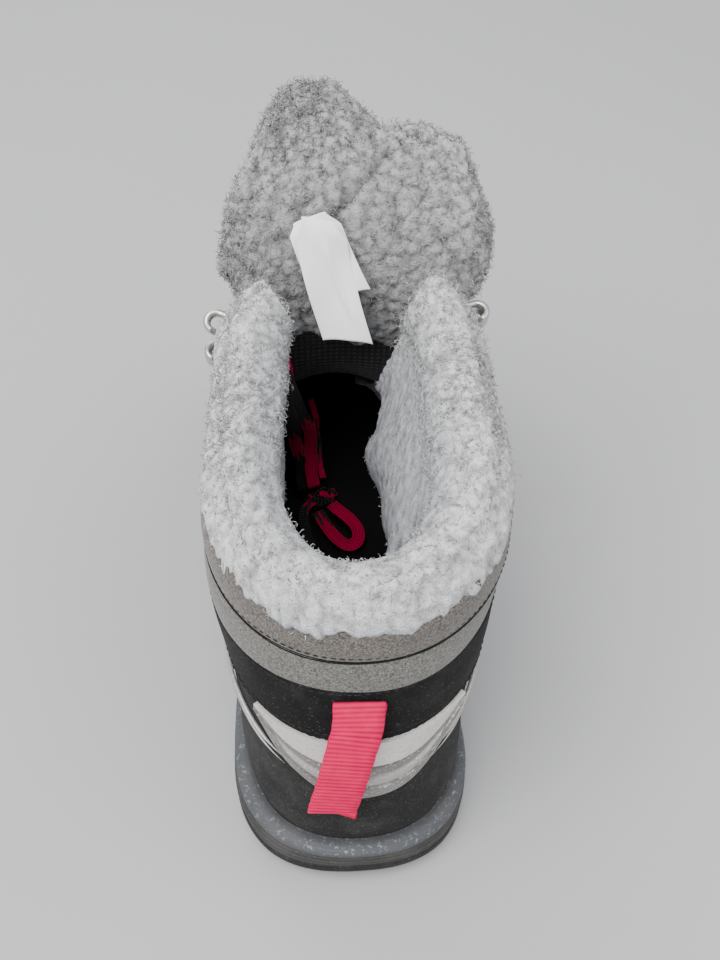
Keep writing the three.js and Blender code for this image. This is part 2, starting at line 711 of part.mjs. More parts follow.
function makeHook() {
  const plate = new THREE.BoxGeometry(9, 12, FOOT_PLATE);
  plate.translate(0, 0, FOOT_PLATE / 2);
  const [bend, inner, height] = [4.2, 2.1, 3.6];
  const curl = new THREE.Shape();
  curl.moveTo(-bend, 0.7);
  curl.lineTo(-bend, height);
  curl.absarc(0, height, bend, Math.PI, 0, true);
  curl.lineTo(inner, height);
  curl.absarc(0, height, inner, 0, Math.PI, false);
  curl.lineTo(-inner, 0.7);
  const body = new THREE.ExtrudeGeometry(curl, { depth: 7, bevelEnabled: false, curveSegments: 8 });
  body.translate(0, 0, -3.5);
  body.rotateX(Math.PI / 2);
  body.rotateZ(Math.PI / 2);
  return solid(plate).add(solid(body));
}

// Stands a piece on the upper: its own z looks out of the leather, its y away from the throat.
function standOn(mesh, { point, normal }, away) {
  const onward = away.clone().addScaledVector(normal, -away.dot(normal)).normalize();
  const along = onward.clone().cross(normal).normalize();
  mesh.quaternion.setFromRotationMatrix(new THREE.Matrix4().makeBasis(along, onward, normal));
  mesh.position.copy(point).addScaledVector(normal, HARDWARE_LIFT);
}

function addHardware() {
  for (const side of [-1, 1]) {
    const letter = side > 0 ? 'outer' : 'inner';
    const away = new THREE.Vector3(side, 0, 0);
    LACE_LOOPS.forEach(({ x, y }, i) => {
      const loop = add(`lace_loop_${letter}_${i + 1}`, makeLaceLoop(), METAL);
      standOn(loop, footAbove(side * x, y), away);
    });
    HOOKS.forEach(({ row, s }, i) => {
      const hook = add(`hook_${letter}_${i + 1}`, makeHook(), METAL);
      standOn(hook, { point: footPoint(row, side, s), normal: footNormal(row, side, s) }, away);
    });
  }
}

add('outsole', makeOutsole(), BLACK_RUBBER);
add('midsole', makeMidsole(), SMOKY_RUBBER);
add('insole', makeInsole(), FLEECE);
add('upper', makeUpper(), SUEDE);
add('tongue', makeTongue(), FLEECE);
add('toe_cap', makeToeCap(), BLACK_RUBBER);
add('heel_counter', makeHeelCounter(), SILVER);
add('side_badge', makeSideBadge(), BLACK_RUBBER);
add('pull_loop', makePullLoop(), WEBBING);
add('care_label', makeCareLabel(), LABEL);
add('laces', makeLaces(), WEBBING);
addHardware();
for (const [name, route] of Object.entries(CORDS)) {
  add(name, tube(route, CORD_RADIUS, 8, route.length * 2), WEBBING);
}
const knot = add('lace_knot', new THREE.SphereGeometry(KNOT.size, 10, 8), WEBBING);
knot.position.set(KNOT.x, KNOT.y, KNOT.z);
knot.scale.set(1.1, 0.8, 0.8);

export default boot;
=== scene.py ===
"""Snow boot for the right foot: the finished look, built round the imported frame."""

import bpy
import itertools
import math
import numpy as np
from mathutils import Matrix, Vector


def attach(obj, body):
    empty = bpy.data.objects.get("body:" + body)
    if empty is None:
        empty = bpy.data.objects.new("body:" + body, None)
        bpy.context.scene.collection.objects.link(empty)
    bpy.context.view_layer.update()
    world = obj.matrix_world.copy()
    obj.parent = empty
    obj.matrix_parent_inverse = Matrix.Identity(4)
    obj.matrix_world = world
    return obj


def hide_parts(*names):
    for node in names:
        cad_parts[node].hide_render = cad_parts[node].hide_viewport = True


bl_info = {
    "name": "Snow Boot",
    "version": (1, 0, 0),
    "blender": (4, 5, 0),
    "location": "View3D > Sidebar > Snow Boot",
    "description": "Builds a fleece-lined winter boot piece by piece",
    "category": "Object",
}

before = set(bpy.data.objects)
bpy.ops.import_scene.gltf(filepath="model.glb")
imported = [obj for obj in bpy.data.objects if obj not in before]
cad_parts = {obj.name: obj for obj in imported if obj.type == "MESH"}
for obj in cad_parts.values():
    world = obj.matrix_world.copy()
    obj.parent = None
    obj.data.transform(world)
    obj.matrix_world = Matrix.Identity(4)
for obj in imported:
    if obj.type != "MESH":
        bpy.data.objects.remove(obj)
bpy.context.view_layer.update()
MM = 0.001
BODY = "root"

# ------------------------------------------------------------------ the foot's form, in millimetres
# One row for each ring round the foot, from the seam with the sole (0) to the collar's rim (11).
# zb zf sag: height at back and front, and how far the middle hangs below that line.
# yb yf yH yB: rearmost and foremost point, where the heel's and the toe's rounding begin.
# hM hL bM bL wM: half widths at heel and ball, inner (M) and outer (L) side, and the waist.
# pb pf cb cf: roundness of heel and toe, sideways shift. tM tL tB: thickness of the padded wall.
SECTION_COLUMNS = "zb zf sag yb yf yH yB hM hL bM bL wM pb pf cb cf tM tL tB".split()
SECTIONS = np.array([
    [16, 24, 4, -33, 234, 6, 158, 34, 35, 43, 45, 8, 2.2, 2.3, 0, -5, 5, 5, 5],
    [25, 36, 3, -35, 236, 6, 156, 36, 37, 46, 48, 6, 2.2, 2.3, 0, -5, 5, 5, 5],
    [35, 50, 2, -36, 232, 7, 150, 37, 38, 45, 46, 4, 2.1, 2.2, 0, -5, 5, 5, 6],
    [45, 60, 1, -36.5, 221, 8, 138, 37, 38, 41, 43, 3, 2.1, 2.1, 0, -4, 5, 6, 7],
    [54, 68.5, 0, -37, 203, 8, 124, 37, 38, 38, 40, 2, 2.1, 2, 0, -3, 7, 8, 8],
    [65, 81, 0, -37, 179, 9, 104, 38, 39, 36, 38, 1, 2.1, 2, 0, -2, 10, 12, 10],
    [77, 93, 0, -36.5, 155, 11, 86, 39, 41, 37, 39, 0, 2.1, 2.1, 0, 0, 14, 18, 12],
    [89, 104, 0, -36, 139, 13, 74, 41, 43, 40, 42, 0, 2.1, 2.3, 0, 1, 17, 22, 13],
    [100, 117, 0, -36, 127, 15, 68, 43, 44.5, 43, 44, 0, 2.1, 2.5, 0, 1, 19, 23, 14],
    [115, 134, 0, -37, 118, 17, 62, 44, 46, 43, 45, 0, 2.1, 2.6, 1, 2, 19, 22, 15],
    [127, 148, 0, -37, 109, 18, 60, 43, 45.5, 41, 44, 0, 2.1, 2.6, 1, 3, 19, 21, 15],
    [135, 157, 0, -35.5, 103, 18, 58, 40.5, 43.5, 39, 42, 0, 2.1, 2.6, 1, 3, 17, 19, 14],
], float)
LAST_ROW = len(SECTIONS) - 1
# The sole's outline at the ground and at its upper edge.
SOLE_COLUMNS = "yb yf yH yB hM hL bM bL wM pb pf cb cf".split()
SOLE_RINGS = np.array([
    [-39, 241, 6, 158, 41, 40, 50, 52, 6, 2.4, 2.3, 0, -5],
    [-38, 239, 6, 157, 39, 39.5, 48.5, 50.5, 6, 2.3, 2.3, 0, -5],
], float)
SOLE_BACK, SOLE_TOE = -39, 241
LUG_DEPTH, TREAD_PLATE = 4.5, 4.5
# Lug rows: y, depth along the foot, blocks across, half width.
LUG_ROWS = (
    (-28, 9, 3, 18), (-15, 11, 4, 33), (0, 11, 3, 35), (15, 11, 4, 35), (30, 11, 3, 34), (46, 11, 4, 33),
    (122, 10, 4, 40), (137, 11, 5, 43), (153, 11, 4, 44), (169, 11, 5, 44), (185, 11, 4, 42),
    (201, 11, 5, 37), (217, 10, 4, 30), (230, 8, 3, 18),
)
# The throat's edge from the side (y, z) and its half width from above (y, half).
THROAT_EDGE = np.array(
    [[190, 62], [170, 70], [148, 80], [130, 90], [116, 104], [104, 123], [95, 142], [88, 175]], float)
THROAT_WIDTH = np.array(
    [[110, 60], [117, 42], [126, 29], [138, 22], [152, 18], [168, 14], [185, 9], [189, 5]], float)
THROAT_GAP = 23
# The tongue from root to free end: y z halfM halfL fall thick lean.
TONGUE_COLUMNS = "y z halfM halfL fall thick lean".split()
TONGUE = np.array([
    [187, 61, 16, 16, 5, 5, 62], [166, 75, 20, 20, 8, 7, 58], [148, 87, 24, 24, 10, 8, 54],
    [133, 98, 27, 27, 11, 9, 48], [121, 111, 28, 28, 7, 9, 32], [117, 127, 31, 35, 3, 9, 8],
    [117, 144, 37, 50, 2, 12, -10], [121, 163, 41, 56, 1, 14, -22], [129, 183, 41, 56, 0, 13, -26],
    [138, 202, 38, 54, 0, 10, -28],
], float)
LACE_LOOPS = ((20, 170), (25, 153), (30, 136))
HOOKS = ((8.4, 0.68), (9.7, 0.72))
HARDWARE_LIFT = 0.5
LACE_LIFT = 3.8
LACE_HUMP = 2
LACE_ROUTES = {
    "lace_run_a": [
        (-20, 131, 99), (-26, 124, 110), (-30, 114, 120), (-30, 108, 126), (-25.5, 105.6, 127),
        (-20.5, 103, 124), (-18, 100, 112), (-15, 106, 96), (-13, 114, 81), (-10, 122, 66), (-10, 126, 52),
        (-10, 126, 42), (-9, 124, 34),
    ],
    "lace_run_b": [
        (20, 131, 99), (8, 129, 105), (-8, 126, 111), (-22, 121, 119), (-29.5, 113, 127), (-30, 105.3, 132.5),
        (-25, 103, 133), (-20, 99.2, 129.5), (-19, 94, 116), (-18.5, 97, 101), (-17, 106, 84), (-16, 118, 64),
        (-14, 125, 48), (-14, 127, 38), (-13, 126.5, 31),
    ],
    "lace_tail_a": [
        (-9, 151, 60), (-7, 148, 53), (-7, 145, 47), (-6, 141, 42), (-6, 134, 38), (-5, 128, 35),
    ],
    "lace_bow": [
        (-8, 115, 28), (-5, 109, 26), (-1, 102, 25), (4, 97, 25), (8, 99, 26), (8, 105, 27), (5, 110, 28),
        (1, 114, 29), (-2, 118, 29),
    ],
    # This tail starts inside the knot.
    "lace_tail_b": [(0, 127, 28), (-7, 123.5, 28), (-13, 119, 27), (-14, 113, 25.5), (-13, 106, 24.5), (-11, 98, 24)],
}
KNOT = (-6, 124, 28)
PULL_LOOP = ((0, -38.5, 96), (0, -39.6, 88), (-1, -41, 80), (-2, -41.6, 70), (-3, -41.6, 60), (-4, -41, 50))


def blend_table(table, columns, at):
    """A table between its rows, as a dictionary of columns, for an array of places."""
    last = len(table) - 1
    at = np.clip(np.asarray(at, float), 0, last)
    i = np.minimum(at.astype(int), last - 1)
    t = (at - i)[..., None]
    a, b, c, d = (table[np.clip(i + k, 0, last)] for k in (-1, 0, 1, 2))
    mixed = (
        (2 * t**3 - 3 * t**2 + 1) * b + (t**3 - 2 * t**2 + t) * (c - a) / 2
        + (3 * t**2 - 2 * t**3) * c + (t**3 - t**2) * (d - b) / 2
    )
    return {name: mixed[..., k] for k, name in enumerate(columns)}


def fold_turn(turn):
    """A turn past the heel continues on the other side."""
    turn = np.asarray(turn, float)
    return np.where(turn > 3, turn - 6, np.where(turn < -3, turn + 6, turn))


def ring_place(row, turn):
    """x, y and the share of the length of a point on a ring, toe 0, heel 3 outside and -3 inside."""
    outer = turn >= 0
    s = np.abs(turn)
    heel = np.where(outer, row["hL"], row["hM"])
    ball = np.where(outer, row["bL"], row["bM"])
    waist = np.where(outer, 0, row["wM"])
    a = np.clip(1 - s, 0, 1) * math.pi / 2
    x_toe = ball * np.abs(np.cos(a)) ** (2 / row["pf"])
    y_toe = row["yB"] + (row["yf"] - row["yB"]) * np.sin(a) ** (2 / row["pf"])
    t = np.clip(2 - s, 0, 1)
    x_side = heel + (ball - heel) * t * t * (3 - 2 * t) - waist * np.sin(math.pi * t) ** 2
    y_side = row["yH"] + (row["yB"] - row["yH"]) * t
    a = np.clip(3 - s, 0, 1) * math.pi / 2
    x_heel = heel * np.sin(a) ** (2 / row["pb"])
    y_heel = row["yH"] - (row["yH"] - row["yb"]) * np.abs(np.cos(a)) ** (2 / row["pb"])
    x = np.where(s <= 1, x_toe, np.where(s <= 2, x_side, x_heel))
    y = np.where(s <= 1, y_toe, np.where(s <= 2, y_side, y_heel))
    t = (y - row["yb"]) / (row["yf"] - row["yb"])
    return np.where(outer, x, -x) + row["cb"] + (row["cf"] - row["cb"]) * t, y, t


def foot_point(at, turn):
    """A point of the upper, on row `at` and `turn` round it."""
    at, turn = np.broadcast_arrays(np.asarray(at, float), fold_turn(turn))
    row = blend_table(SECTIONS, SECTION_COLUMNS, at)
    x, y, t = ring_place(row, turn)
    z = row["zb"] + (row["zf"] - row["zb"]) * t - row["sag"] * np.sin(math.pi * t)
    return np.stack([x, y, z], axis=-1)


def unit(vectors):
    return vectors / np.maximum(np.linalg.norm(vectors, axis=-1, keepdims=True), 1e-9)


def foot_normal(at, turn):
    step = 0.03
    at, turn = np.broadcast_arrays(np.asarray(at, float), np.asarray(turn, float))
    up = foot_point(np.minimum(at + step, LAST_ROW), turn) - foot_point(np.maximum(at - step, 0), turn)
    return unit(np.cross(up, foot_point(at, turn + step) - foot_point(at, turn - step)))


def wall(at, turn):
    """How thick the padded wall is."""
    turn = fold_turn(turn)
    row = blend_table(SECTIONS, SECTION_COLUMNS, np.broadcast_to(at, np.shape(turn)))
    flank = np.where(turn >= 0, row["tL"], row["tM"])
    back = np.clip(np.abs(turn) - 2, 0, 1)
    return flank + (row["tB"] - flank) * back * back * (3 - 2 * back)


def on_foot(at, turn, lift):
    return foot_point(at, turn) + foot_normal(at, turn) * np.asarray(lift, float)[..., None]


def in_throat(p):
    """Whether a point of the upper lies in the opening of the throat."""
    x, y, z = p[..., 0], p[..., 1], p[..., 2]
    edge = np.interp(z, THROAT_EDGE[:, 1], THROAT_EDGE[:, 0])
    half = np.interp(y, THROAT_WIDTH[:, 0], THROAT_WIDTH[:, 1], right=0)
    ahead = (y > edge) & (np.abs(x) < half)
    between = (np.abs(x) < THROAT_GAP) & (y > 62) & (y < 125) & (z > 95)
    return ahead | between


def throat_table(side):
    """For rows a tenth apart, the turn at which the throat's edge crosses the row."""
    rows = np.arange(0, LAST_ROW + 0.05, 0.1)
    turns = np.linspace(0, 1.4, 561)
    cut = in_throat(foot_point(rows[:, None], side * turns[None, :] + 1e-6 * side))
    last = np.where(cut.any(axis=1), 560 - np.argmax(cut[:, ::-1], axis=1), 0)
    return rows, turns[last]


THROAT = {side: throat_table(side) for side in (1, -1)}


def throat_turn(at, side):
    return np.interp(at, *THROAT[side])


def around(u, at, margin=0.0):
    """The turn at share u of the way from the throat's outer edge round the heel to its inner edge."""
    outer = throat_turn(at, 1) + margin
    inner = throat_turn(at, -1) + margin
    return np.where(u < 0.5, outer + (3 - outer) * 2 * u, 3 + (3 - inner) * (2 * u - 1))


def find_on_foot(target, axes, at, turn):
    """The row and turn where the upper passes through a point given by two of its coordinates."""
    target = np.atleast_2d(np.asarray(target, float))
    at = np.full(len(target), float(at)) if np.isscalar(at) else np.array(at, float)
    turn = np.full(len(target), float(turn)) if np.isscalar(turn) else np.array(turn, float)
    step = 0.01
    for _ in range(25):
        here = foot_point(at, turn)[:, axes]
        by_row = (foot_point(at + step, turn)[:, axes] - here) / step
        by_turn = (foot_point(at, turn + step)[:, axes] - here) / step
        miss = target - here
        det = by_row[:, 0] * by_turn[:, 1] - by_row[:, 1] * by_turn[:, 0]
        det = np.where(np.abs(det) < 1e-3, 1e-3, det)
        d_at = (miss[:, 0] * by_turn[:, 1] - miss[:, 1] * by_turn[:, 0]) / det
        d_turn = (by_row[:, 0] * miss[:, 1] - by_row[:, 1] * miss[:, 0]) / det
        at = np.clip(at + np.clip(d_at, -0.6, 0.6), 0, LAST_ROW - 0.02)
        turn = turn + np.clip(d_turn, -0.15, 0.15)
    return at, turn


def tongue_point(at, x, depth):
    """A point of the tongue at height `at` of its table, x across, `depth` behind its outer face."""
    row = blend_table(TONGUE, TONGUE_COLUMNS, at)
    lean = np.radians(row["lean"])
    edge = np.clip(np.abs(x) / np.where(x < 0, row["halfM"], row["halfL"]), 0, 1)
    back = row["fall"] * edge * edge + depth * (1 - 0.45 * edge**3)
    return np.stack([x, row["y"] - back * np.cos(lean), row["z"] - back * np.sin(lean)], axis=-1)


def ground(y):
    """The height of the lugs' undersides: a bevelled heel, a low arch and toe spring."""
    y = np.asarray(y, float)
    heel = 2.5 * np.clip((-28 - y) / 11, 0, None) ** 1.5
    arch = np.where((y > 60) & (y < 118), 3 * np.sin(math.pi * (y - 60) / 58) ** 2, 0)
    return heel + arch + 12 * np.clip((y - 190) / 51, 0, None) ** 1.6


def lip(y):
    return 20 + 14 * np.clip((np.asarray(y, float) - SOLE_BACK) / 280, 0, None) ** 1.6


def sole_place(blend, turn):
    blend, turn = np.broadcast_arrays(np.asarray(blend, float), fold_turn(turn))
    row = blend_table(SOLE_RINGS, SOLE_COLUMNS, blend)
    x, y, _ = ring_place(row, turn)
    return x, y


# ------------------------------------------------------------------ noise that repeats
def smooth(x, low=0.0, high=1.0):
    t = np.clip((x - low) / (high - low), 0, 1)
    return t * t * (3 - 2 * t)


def scatter(cell, seed):
    """Three repeatable numbers from 0 to 1 for each whole-number cell."""
    x, y, z = (cell[:, k].astype(np.int64) for k in range(3))
    out = []
    for k in range(3):
        h = (x * 73856093) ^ (y * 19349663) ^ (z * 83492791) ^ ((seed * 7 + k) * 2654435761)
        h = ((h ^ (h >> 13)) * 1274126177) & 0xFFFFFFFF
        out.append(((h ^ (h >> 16)) & 0xFFFF) / 65535.0)
    return np.stack(out, axis=1)


def knobs(points, size, seed):
    """Rounded knobs: 1 at a random place in each cell, falling to 0 between them."""
    place = points / size
    base = np.floor(place).astype(np.int64)
    nearest = np.full(len(points), 9.0)
    for step in itertools.product((-1, 0, 1), repeat=3):
        cell = base + step
        nearest = np.minimum(nearest, np.linalg.norm(cell + scatter(cell, seed) - place, axis=1))
    return np.clip(1 - nearest, 0, 1)


def wander(points, size, seed):
    """Soft noise from 0 to 1."""
    place = points / size
    base = np.floor(place).astype(np.int64)
    part = smooth(place - base)
    total = np.zeros(len(points))
    for corner in itertools.product((0, 1), repeat=3):
        weight = np.prod(np.where(np.array(corner) > 0, part, 1 - part), axis=1)
        total += weight * scatter(base + corner, seed)[:, 0]
    return total


# ------------------------------------------------------------------ mesh tools
def clear_selection():
    for obj in list(bpy.context.selected_objects):
        obj.select_set(False)


def make_active(obj):
    clear_selection()
    obj.select_set(True)
    bpy.context.view_layer.objects.active = obj


def read_points(mesh):
    flat = np.empty(len(mesh.vertices) * 3)
    mesh.vertices.foreach_get("co", flat)
    return flat.reshape(-1, 3) / MM


def write_points(mesh, points):
    mesh.vertices.foreach_set("co", (np.asarray(points) * MM).ravel())
    mesh.update()


def read_normals(mesh):
    flat = np.empty(len(mesh.vertices) * 3)
    mesh.vertices.foreach_get("normal", flat)
    return flat.reshape(-1, 3)


def store(mesh, name, values):
    """Keeps one number for each vertex under a name that materials read."""
    layer = mesh.attributes.get(name) or mesh.attributes.new(name, "FLOAT", "POINT")
    layer.data.foreach_set("value", np.asarray(values, dtype=np.float32))


def edit(obj, *steps):
    """Runs edit-mode operators on the whole of an object."""
    make_active(obj)
    bpy.ops.object.mode_set(mode="EDIT")
    bpy.ops.mesh.select_all(action="SELECT")
    for step in steps:
        step()
    bpy.ops.object.mode_set(mode="OBJECT")


def modify(obj, kind, **settings):
    """Adds one modifier and applies it."""
    make_active(obj)
    modifier = obj.modifiers.new(kind.lower(), kind)
    for name, value in settings.items():
        setattr(modifier, name, value)
    bpy.ops.object.modifier_apply(modifier=modifier.name)


def shade_smooth(obj):
    make_active(obj)
    bpy.ops.object.shade_smooth()


def grid_piece(name, columns, rows, place, uv_size=None):
    """A grid laid out by place(u, v), which gives points and the directions they should face."""
    clear_selection()
    bpy.ops.mesh.primitive_grid_add(x_subdivisions=columns, y_subdivisions=rows, size=1, calc_uvs=True)
    obj = bpy.context.active_object
    obj.name = obj.data.name = name
    mesh = obj.data
    flat = read_points(mesh) * MM + 0.5
    u, v = np.round(flat[:, 0] * columns) / columns, np.round(flat[:, 1] * rows) / rows
    points, facing = place(u, v)
    write_points(mesh, points)
    if float(np.sum(read_normals(mesh) * facing)) < 0:
        edit(obj, bpy.ops.mesh.flip_normals)
    if uv_size:
        layer = mesh.uv_layers.active.data
        uv = np.empty(len(layer) * 2)
        layer.foreach_get("uv", uv)
        uv = uv.reshape(-1, 2) * np.array(uv_size) * MM
        layer.foreach_set("uv", uv.ravel())
    shade_smooth(obj)
    return obj


def weld(obj, distance=0.02):
    edit(obj, lambda: bpy.ops.mesh.remove_doubles(threshold=distance * MM))


def mesh_piece(name, points, faces, uvs=None):
    mesh = bpy.data.meshes.new(name)
    mesh.from_pydata((np.asarray(points) * MM).tolist(), [], faces)
    mesh.update()
    if uvs is not None:
        layer = mesh.uv_layers.new(name="UVMap")
        index = np.empty(len(mesh.loops), dtype=np.int32)
        mesh.loops.foreach_get("vertex_index", index)
        layer.data.foreach_set("uv", (np.asarray(uvs)[index] * MM).ravel())
    obj = bpy.data.objects.new(name, mesh)
    bpy.context.collection.objects.link(obj)
    shade_smooth(obj)
    return obj


def curve_through(route, spacing):
    """Points a set distance apart on a smooth curve through a route."""
    route = np.asarray(route, float)
    padded = np.vstack([2 * route[0] - route[1], route, 2 * route[-1] - route[-2]])
    fine = []
    for i in range(len(route) - 1):
        a, b, c, d = padded[i:i + 4]
        t = np.linspace(0, 1, 24, endpoint=False)[:, None]
        fine.append(0.5 * (2 * b + (c - a) * t + (2 * a - 5 * b + 4 * c - d) * t**2
                           + (3 * b - a - 3 * c + d) * t**3))
    fine = np.vstack(fine + [route[-1:]])
    reach = np.concatenate([[0], np.cumsum(np.linalg.norm(np.diff(fine, axis=0), axis=1))])
    count = max(4, int(round(reach[-1] / spacing)))
    wanted = np.linspace(0, reach[-1], count + 1)
    return np.stack([np.interp(wanted, reach, fine[:, k]) for k in range(3)], axis=1), reach[-1]


def frames_along(points, looks):
    """Across and out directions at each point, with the flat side facing the given directions."""
    onward = unit(np.gradient(points, axis=0))
    looks = np.asarray(looks, float)
    if looks.ndim == 1:
        looks = np.tile(looks, (len(points), 1))
    if len(looks) != len(points):
        share = np.linspace(0, len(looks) - 1, len(points))
        looks = np.stack([np.interp(share, np.arange(len(looks)), looks[:, k]) for k in range(3)], axis=1)
    across = unit(np.cross(onward, looks))
    return across, unit(np.cross(across, onward))


def sweep(name, points, looks, section, closed_ends=True):
    """A section (across, out) drawn along a line. UVs run along the line and round the section."""
    section = np.asarray(section, float)
    if section.ndim == 2:
        section = np.broadcast_to(section, (len(points),) + section.shape)
    across, out = frames_along(points, looks)
    rings = points[:, None] + across[:, None] * section[..., :1] + out[:, None] * section[..., 1:]
    count, n = rings.shape[:2]
    faces = [
        (r * n + i, r * n + (i + 1) % n, (r + 1) * n + (i + 1) % n, (r + 1) * n + i)
        for r in range(count - 1) for i in range(n)
    ]
    if closed_ends:
        faces += [tuple(range(n))[::-1], tuple(range((count - 1) * n, count * n))]
    reach = np.concatenate([[0], np.cumsum(np.linalg.norm(np.diff(points, axis=0), axis=1))])
    uvs = np.stack([np.repeat(reach, n), section[..., 0].ravel()], axis=1)
    obj = mesh_piece(name, rings.reshape(-1, 3), faces, uvs)
    edit(obj, lambda: bpy.ops.mesh.normals_make_consistent(inside=False))
    return obj


def copies(name, template, places, material):
    """One joined mesh with a copy of the template, in millimetres, at each place."""
    points, faces = template
    count = len(points)
    places = np.asarray(places, float)
    turned = np.einsum("nij,kj->nki", places[:, :3, :3], points) + places[:, None, :3, 3]
    all_faces = [tuple(k * count + i for i in face) for k in range(len(places)) for face in faces]
    obj = mesh_piece(name, turned.reshape(-1, 3), all_faces)
    obj.data.materials.append(material)
    return obj


def template_of(obj):
    """Points in millimetres and faces of a modelled piece, which is then removed."""
    points = read_points(obj.data)
    faces = [tuple(face.vertices) for face in obj.data.polygons]
    bpy.data.objects.remove(obj)
    return points, faces


def placed(point, x_axis, y_axis, z_axis, scale=(1, 1, 1)):
    matrix = np.eye(4)
    matrix[:3, 0] = np.asarray(x_axis) * scale[0]
    matrix[:3, 1] = np.asarray(y_axis) * scale[1]
    matrix[:3, 2] = np.asarray(z_axis) * scale[2]
    matrix[:3, 3] = point
    return matrix


def join(name, objects):
    clear_selection()
    for obj in objects:
        obj.select_set(True)
    bpy.context.view_layer.objects.active = objects[0]
    bpy.ops.object.join()
    objects[0].name = objects[0].data.name = name
    return objects[0]


def ride(obj, slot, *nodes):
    """Fixes a piece to the boot's one body and hides the CAD nodes it stands for; the finish named by slot is not used.
    """
    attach(obj, BODY)
    if nodes:
        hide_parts(*nodes)
    return obj


# ------------------------------------------------------------------ finishes
class Bench:
    """A material's node tree round its Principled shader."""

    def __init__(self, name, roughness, metallic=0.0, **sockets):
        self.material = bpy.data.materials.new(name)
        self.material.use_nodes = True
        self.tree = self.material.node_tree
        self.shader = self.tree.nodes["Principled BSDF"]
        self.set_socket("Roughness", roughness)
        self.set_socket("Metallic", metallic)
        for socket, value in sockets.items():
            self.set_socket(socket.replace("_", " "), value)
        self.place = self.node("ShaderNodeTexCoord").outputs["Object"]

    def set_socket(self, name, value):
        socket = self.shader.inputs[name]
        if isinstance(value, bpy.types.NodeSocket):
            self.tree.links.new(value, socket)
        else:
            socket.default_value = value

    def node(self, kind, inputs=None, **settings):
        made = self.tree.nodes.new(kind)
        for name, value in settings.items():
            setattr(made, name, value)
        for name, value in (inputs or {}).items():
            if isinstance(value, bpy.types.NodeSocket):
                self.tree.links.new(value, made.inputs[name])
            else:
                made.inputs[name].default_value = value
        return made

    def noise(self, size_mm, detail=3.0, rough=0.55, vector=None, stretch=None):
        vector = vector or self.place
        if stretch:
            vector = self.node("ShaderNodeMapping", {"Vector": vector, "Scale": stretch}).outputs[0]
        inputs = {"Vector": vector, "Scale": 1 / (size_mm * MM), "Detail": detail, "Roughness": rough}
        return self.node("ShaderNodeTexNoise", inputs).outputs["Fac"]

    def band(self, value, low, high, to_low=0.0, to_high=1.0):
        inputs = {"Value": value, "From Min": low, "From Max": high, "To Min": to_low, "To Max": to_high}
        return self.node("ShaderNodeMapRange", inputs).outputs["Result"]

    def math(self, kind, a, b=0.0):
        return self.node("ShaderNodeMath", {0: a, 1: b}, operation=kind).outputs[0]

    def mix(self, share, a, b, blend="MIX"):
        made = self.node("ShaderNodeMix", data_type="RGBA", blend_type=blend)
        for index, value in ((0, share), (6, a), (7, b)):
            if isinstance(value, bpy.types.NodeSocket):
                self.tree.links.new(value, made.inputs[index])
            else:
                made.inputs[index].default_value = value if index == 0 else (*value[:3], 1)
        return made.outputs[2]

    def attribute(self, name):
        return self.node("ShaderNodeAttribute", attribute_name=name).outputs["Fac"]

    def group(self, tree, **inputs):
        made = self.node("ShaderNodeGroup", node_tree=tree)
        for name, value in inputs.items():
            socket = made.inputs[name.replace("_", " ")]
            if isinstance(value, bpy.types.NodeSocket):
                self.tree.links.new(value, socket)
            else:
                socket.default_value = value
        return made.outputs

    def relief(self, height, strength, depth_mm, normal=None):
        inputs = {"Height": height, "Strength": strength, "Distance": depth_mm * MM}
        if normal:
            inputs["Normal"] = normal
        made = self.node("ShaderNodeBump", inputs).outputs["Normal"]
        self.tree.links.new(made, self.shader.inputs["Normal"])
        return made


def group_tree(name, ins, outs):
    tree = bpy.data.node_groups.new(name, "ShaderNodeTree")
    for label, default in ins:
        socket = tree.interface.new_socket(label, in_out="INPUT", socket_type="NodeSocketFloat")
        socket.default_value = default
    for label in outs:
        tree.interface.new_socket(label, in_out="OUTPUT", socket_type="NodeSocketFloat")
    return tree, tree.nodes.new("NodeGroupInput"), tree.nodes.new("NodeGroupOutput")


def dust_group():
    """A mask of dust specks and pale scuffs, in world sizes, with an amount."""
    if "dust" in bpy.data.node_groups:
        return bpy.data.node_groups["dust"]
    tree, ins, outs = group_tree("dust", [("Amount", 0.5)], ["Dust", "Specks"])
    links = tree.links
    place = tree.nodes.new("ShaderNodeTexCoord").outputs["Object"]
    cloud = tree.nodes.new("ShaderNodeTexNoise")
    cloud.inputs["Scale"].default_value = 55
    cloud.inputs["Detail"].default_value = 7
    cloud.inputs["Roughness"].default_value = 0.7
    specks = tree.nodes.new("ShaderNodeTexNoise")
    specks.inputs["Scale"].default_value = 1300
    specks.inputs["Detail"].default_value = 2
    for noise in (cloud, specks):
        links.new(place, noise.inputs["Vector"])
    for noise, low, high, name in ((cloud, 0.48, 0.8, "Dust"), (specks, 0.62, 0.78, "Specks")):
        reach = tree.nodes.new("ShaderNodeMapRange")
        reach.inputs["From Min"].default_value = low
        reach.inputs["From Max"].default_value = high
        links.new(noise.outputs["Fac"], reach.inputs["Value"])
        amount = tree.nodes.new("ShaderNodeMath")
        amount.operation = "MULTIPLY"
        links.new(reach.outputs["Result"], amount.inputs[0])
        links.new(ins.outputs["Amount"], amount.inputs[1])
        links.new(amount.outputs[0], outs.inputs[name])
    return tree


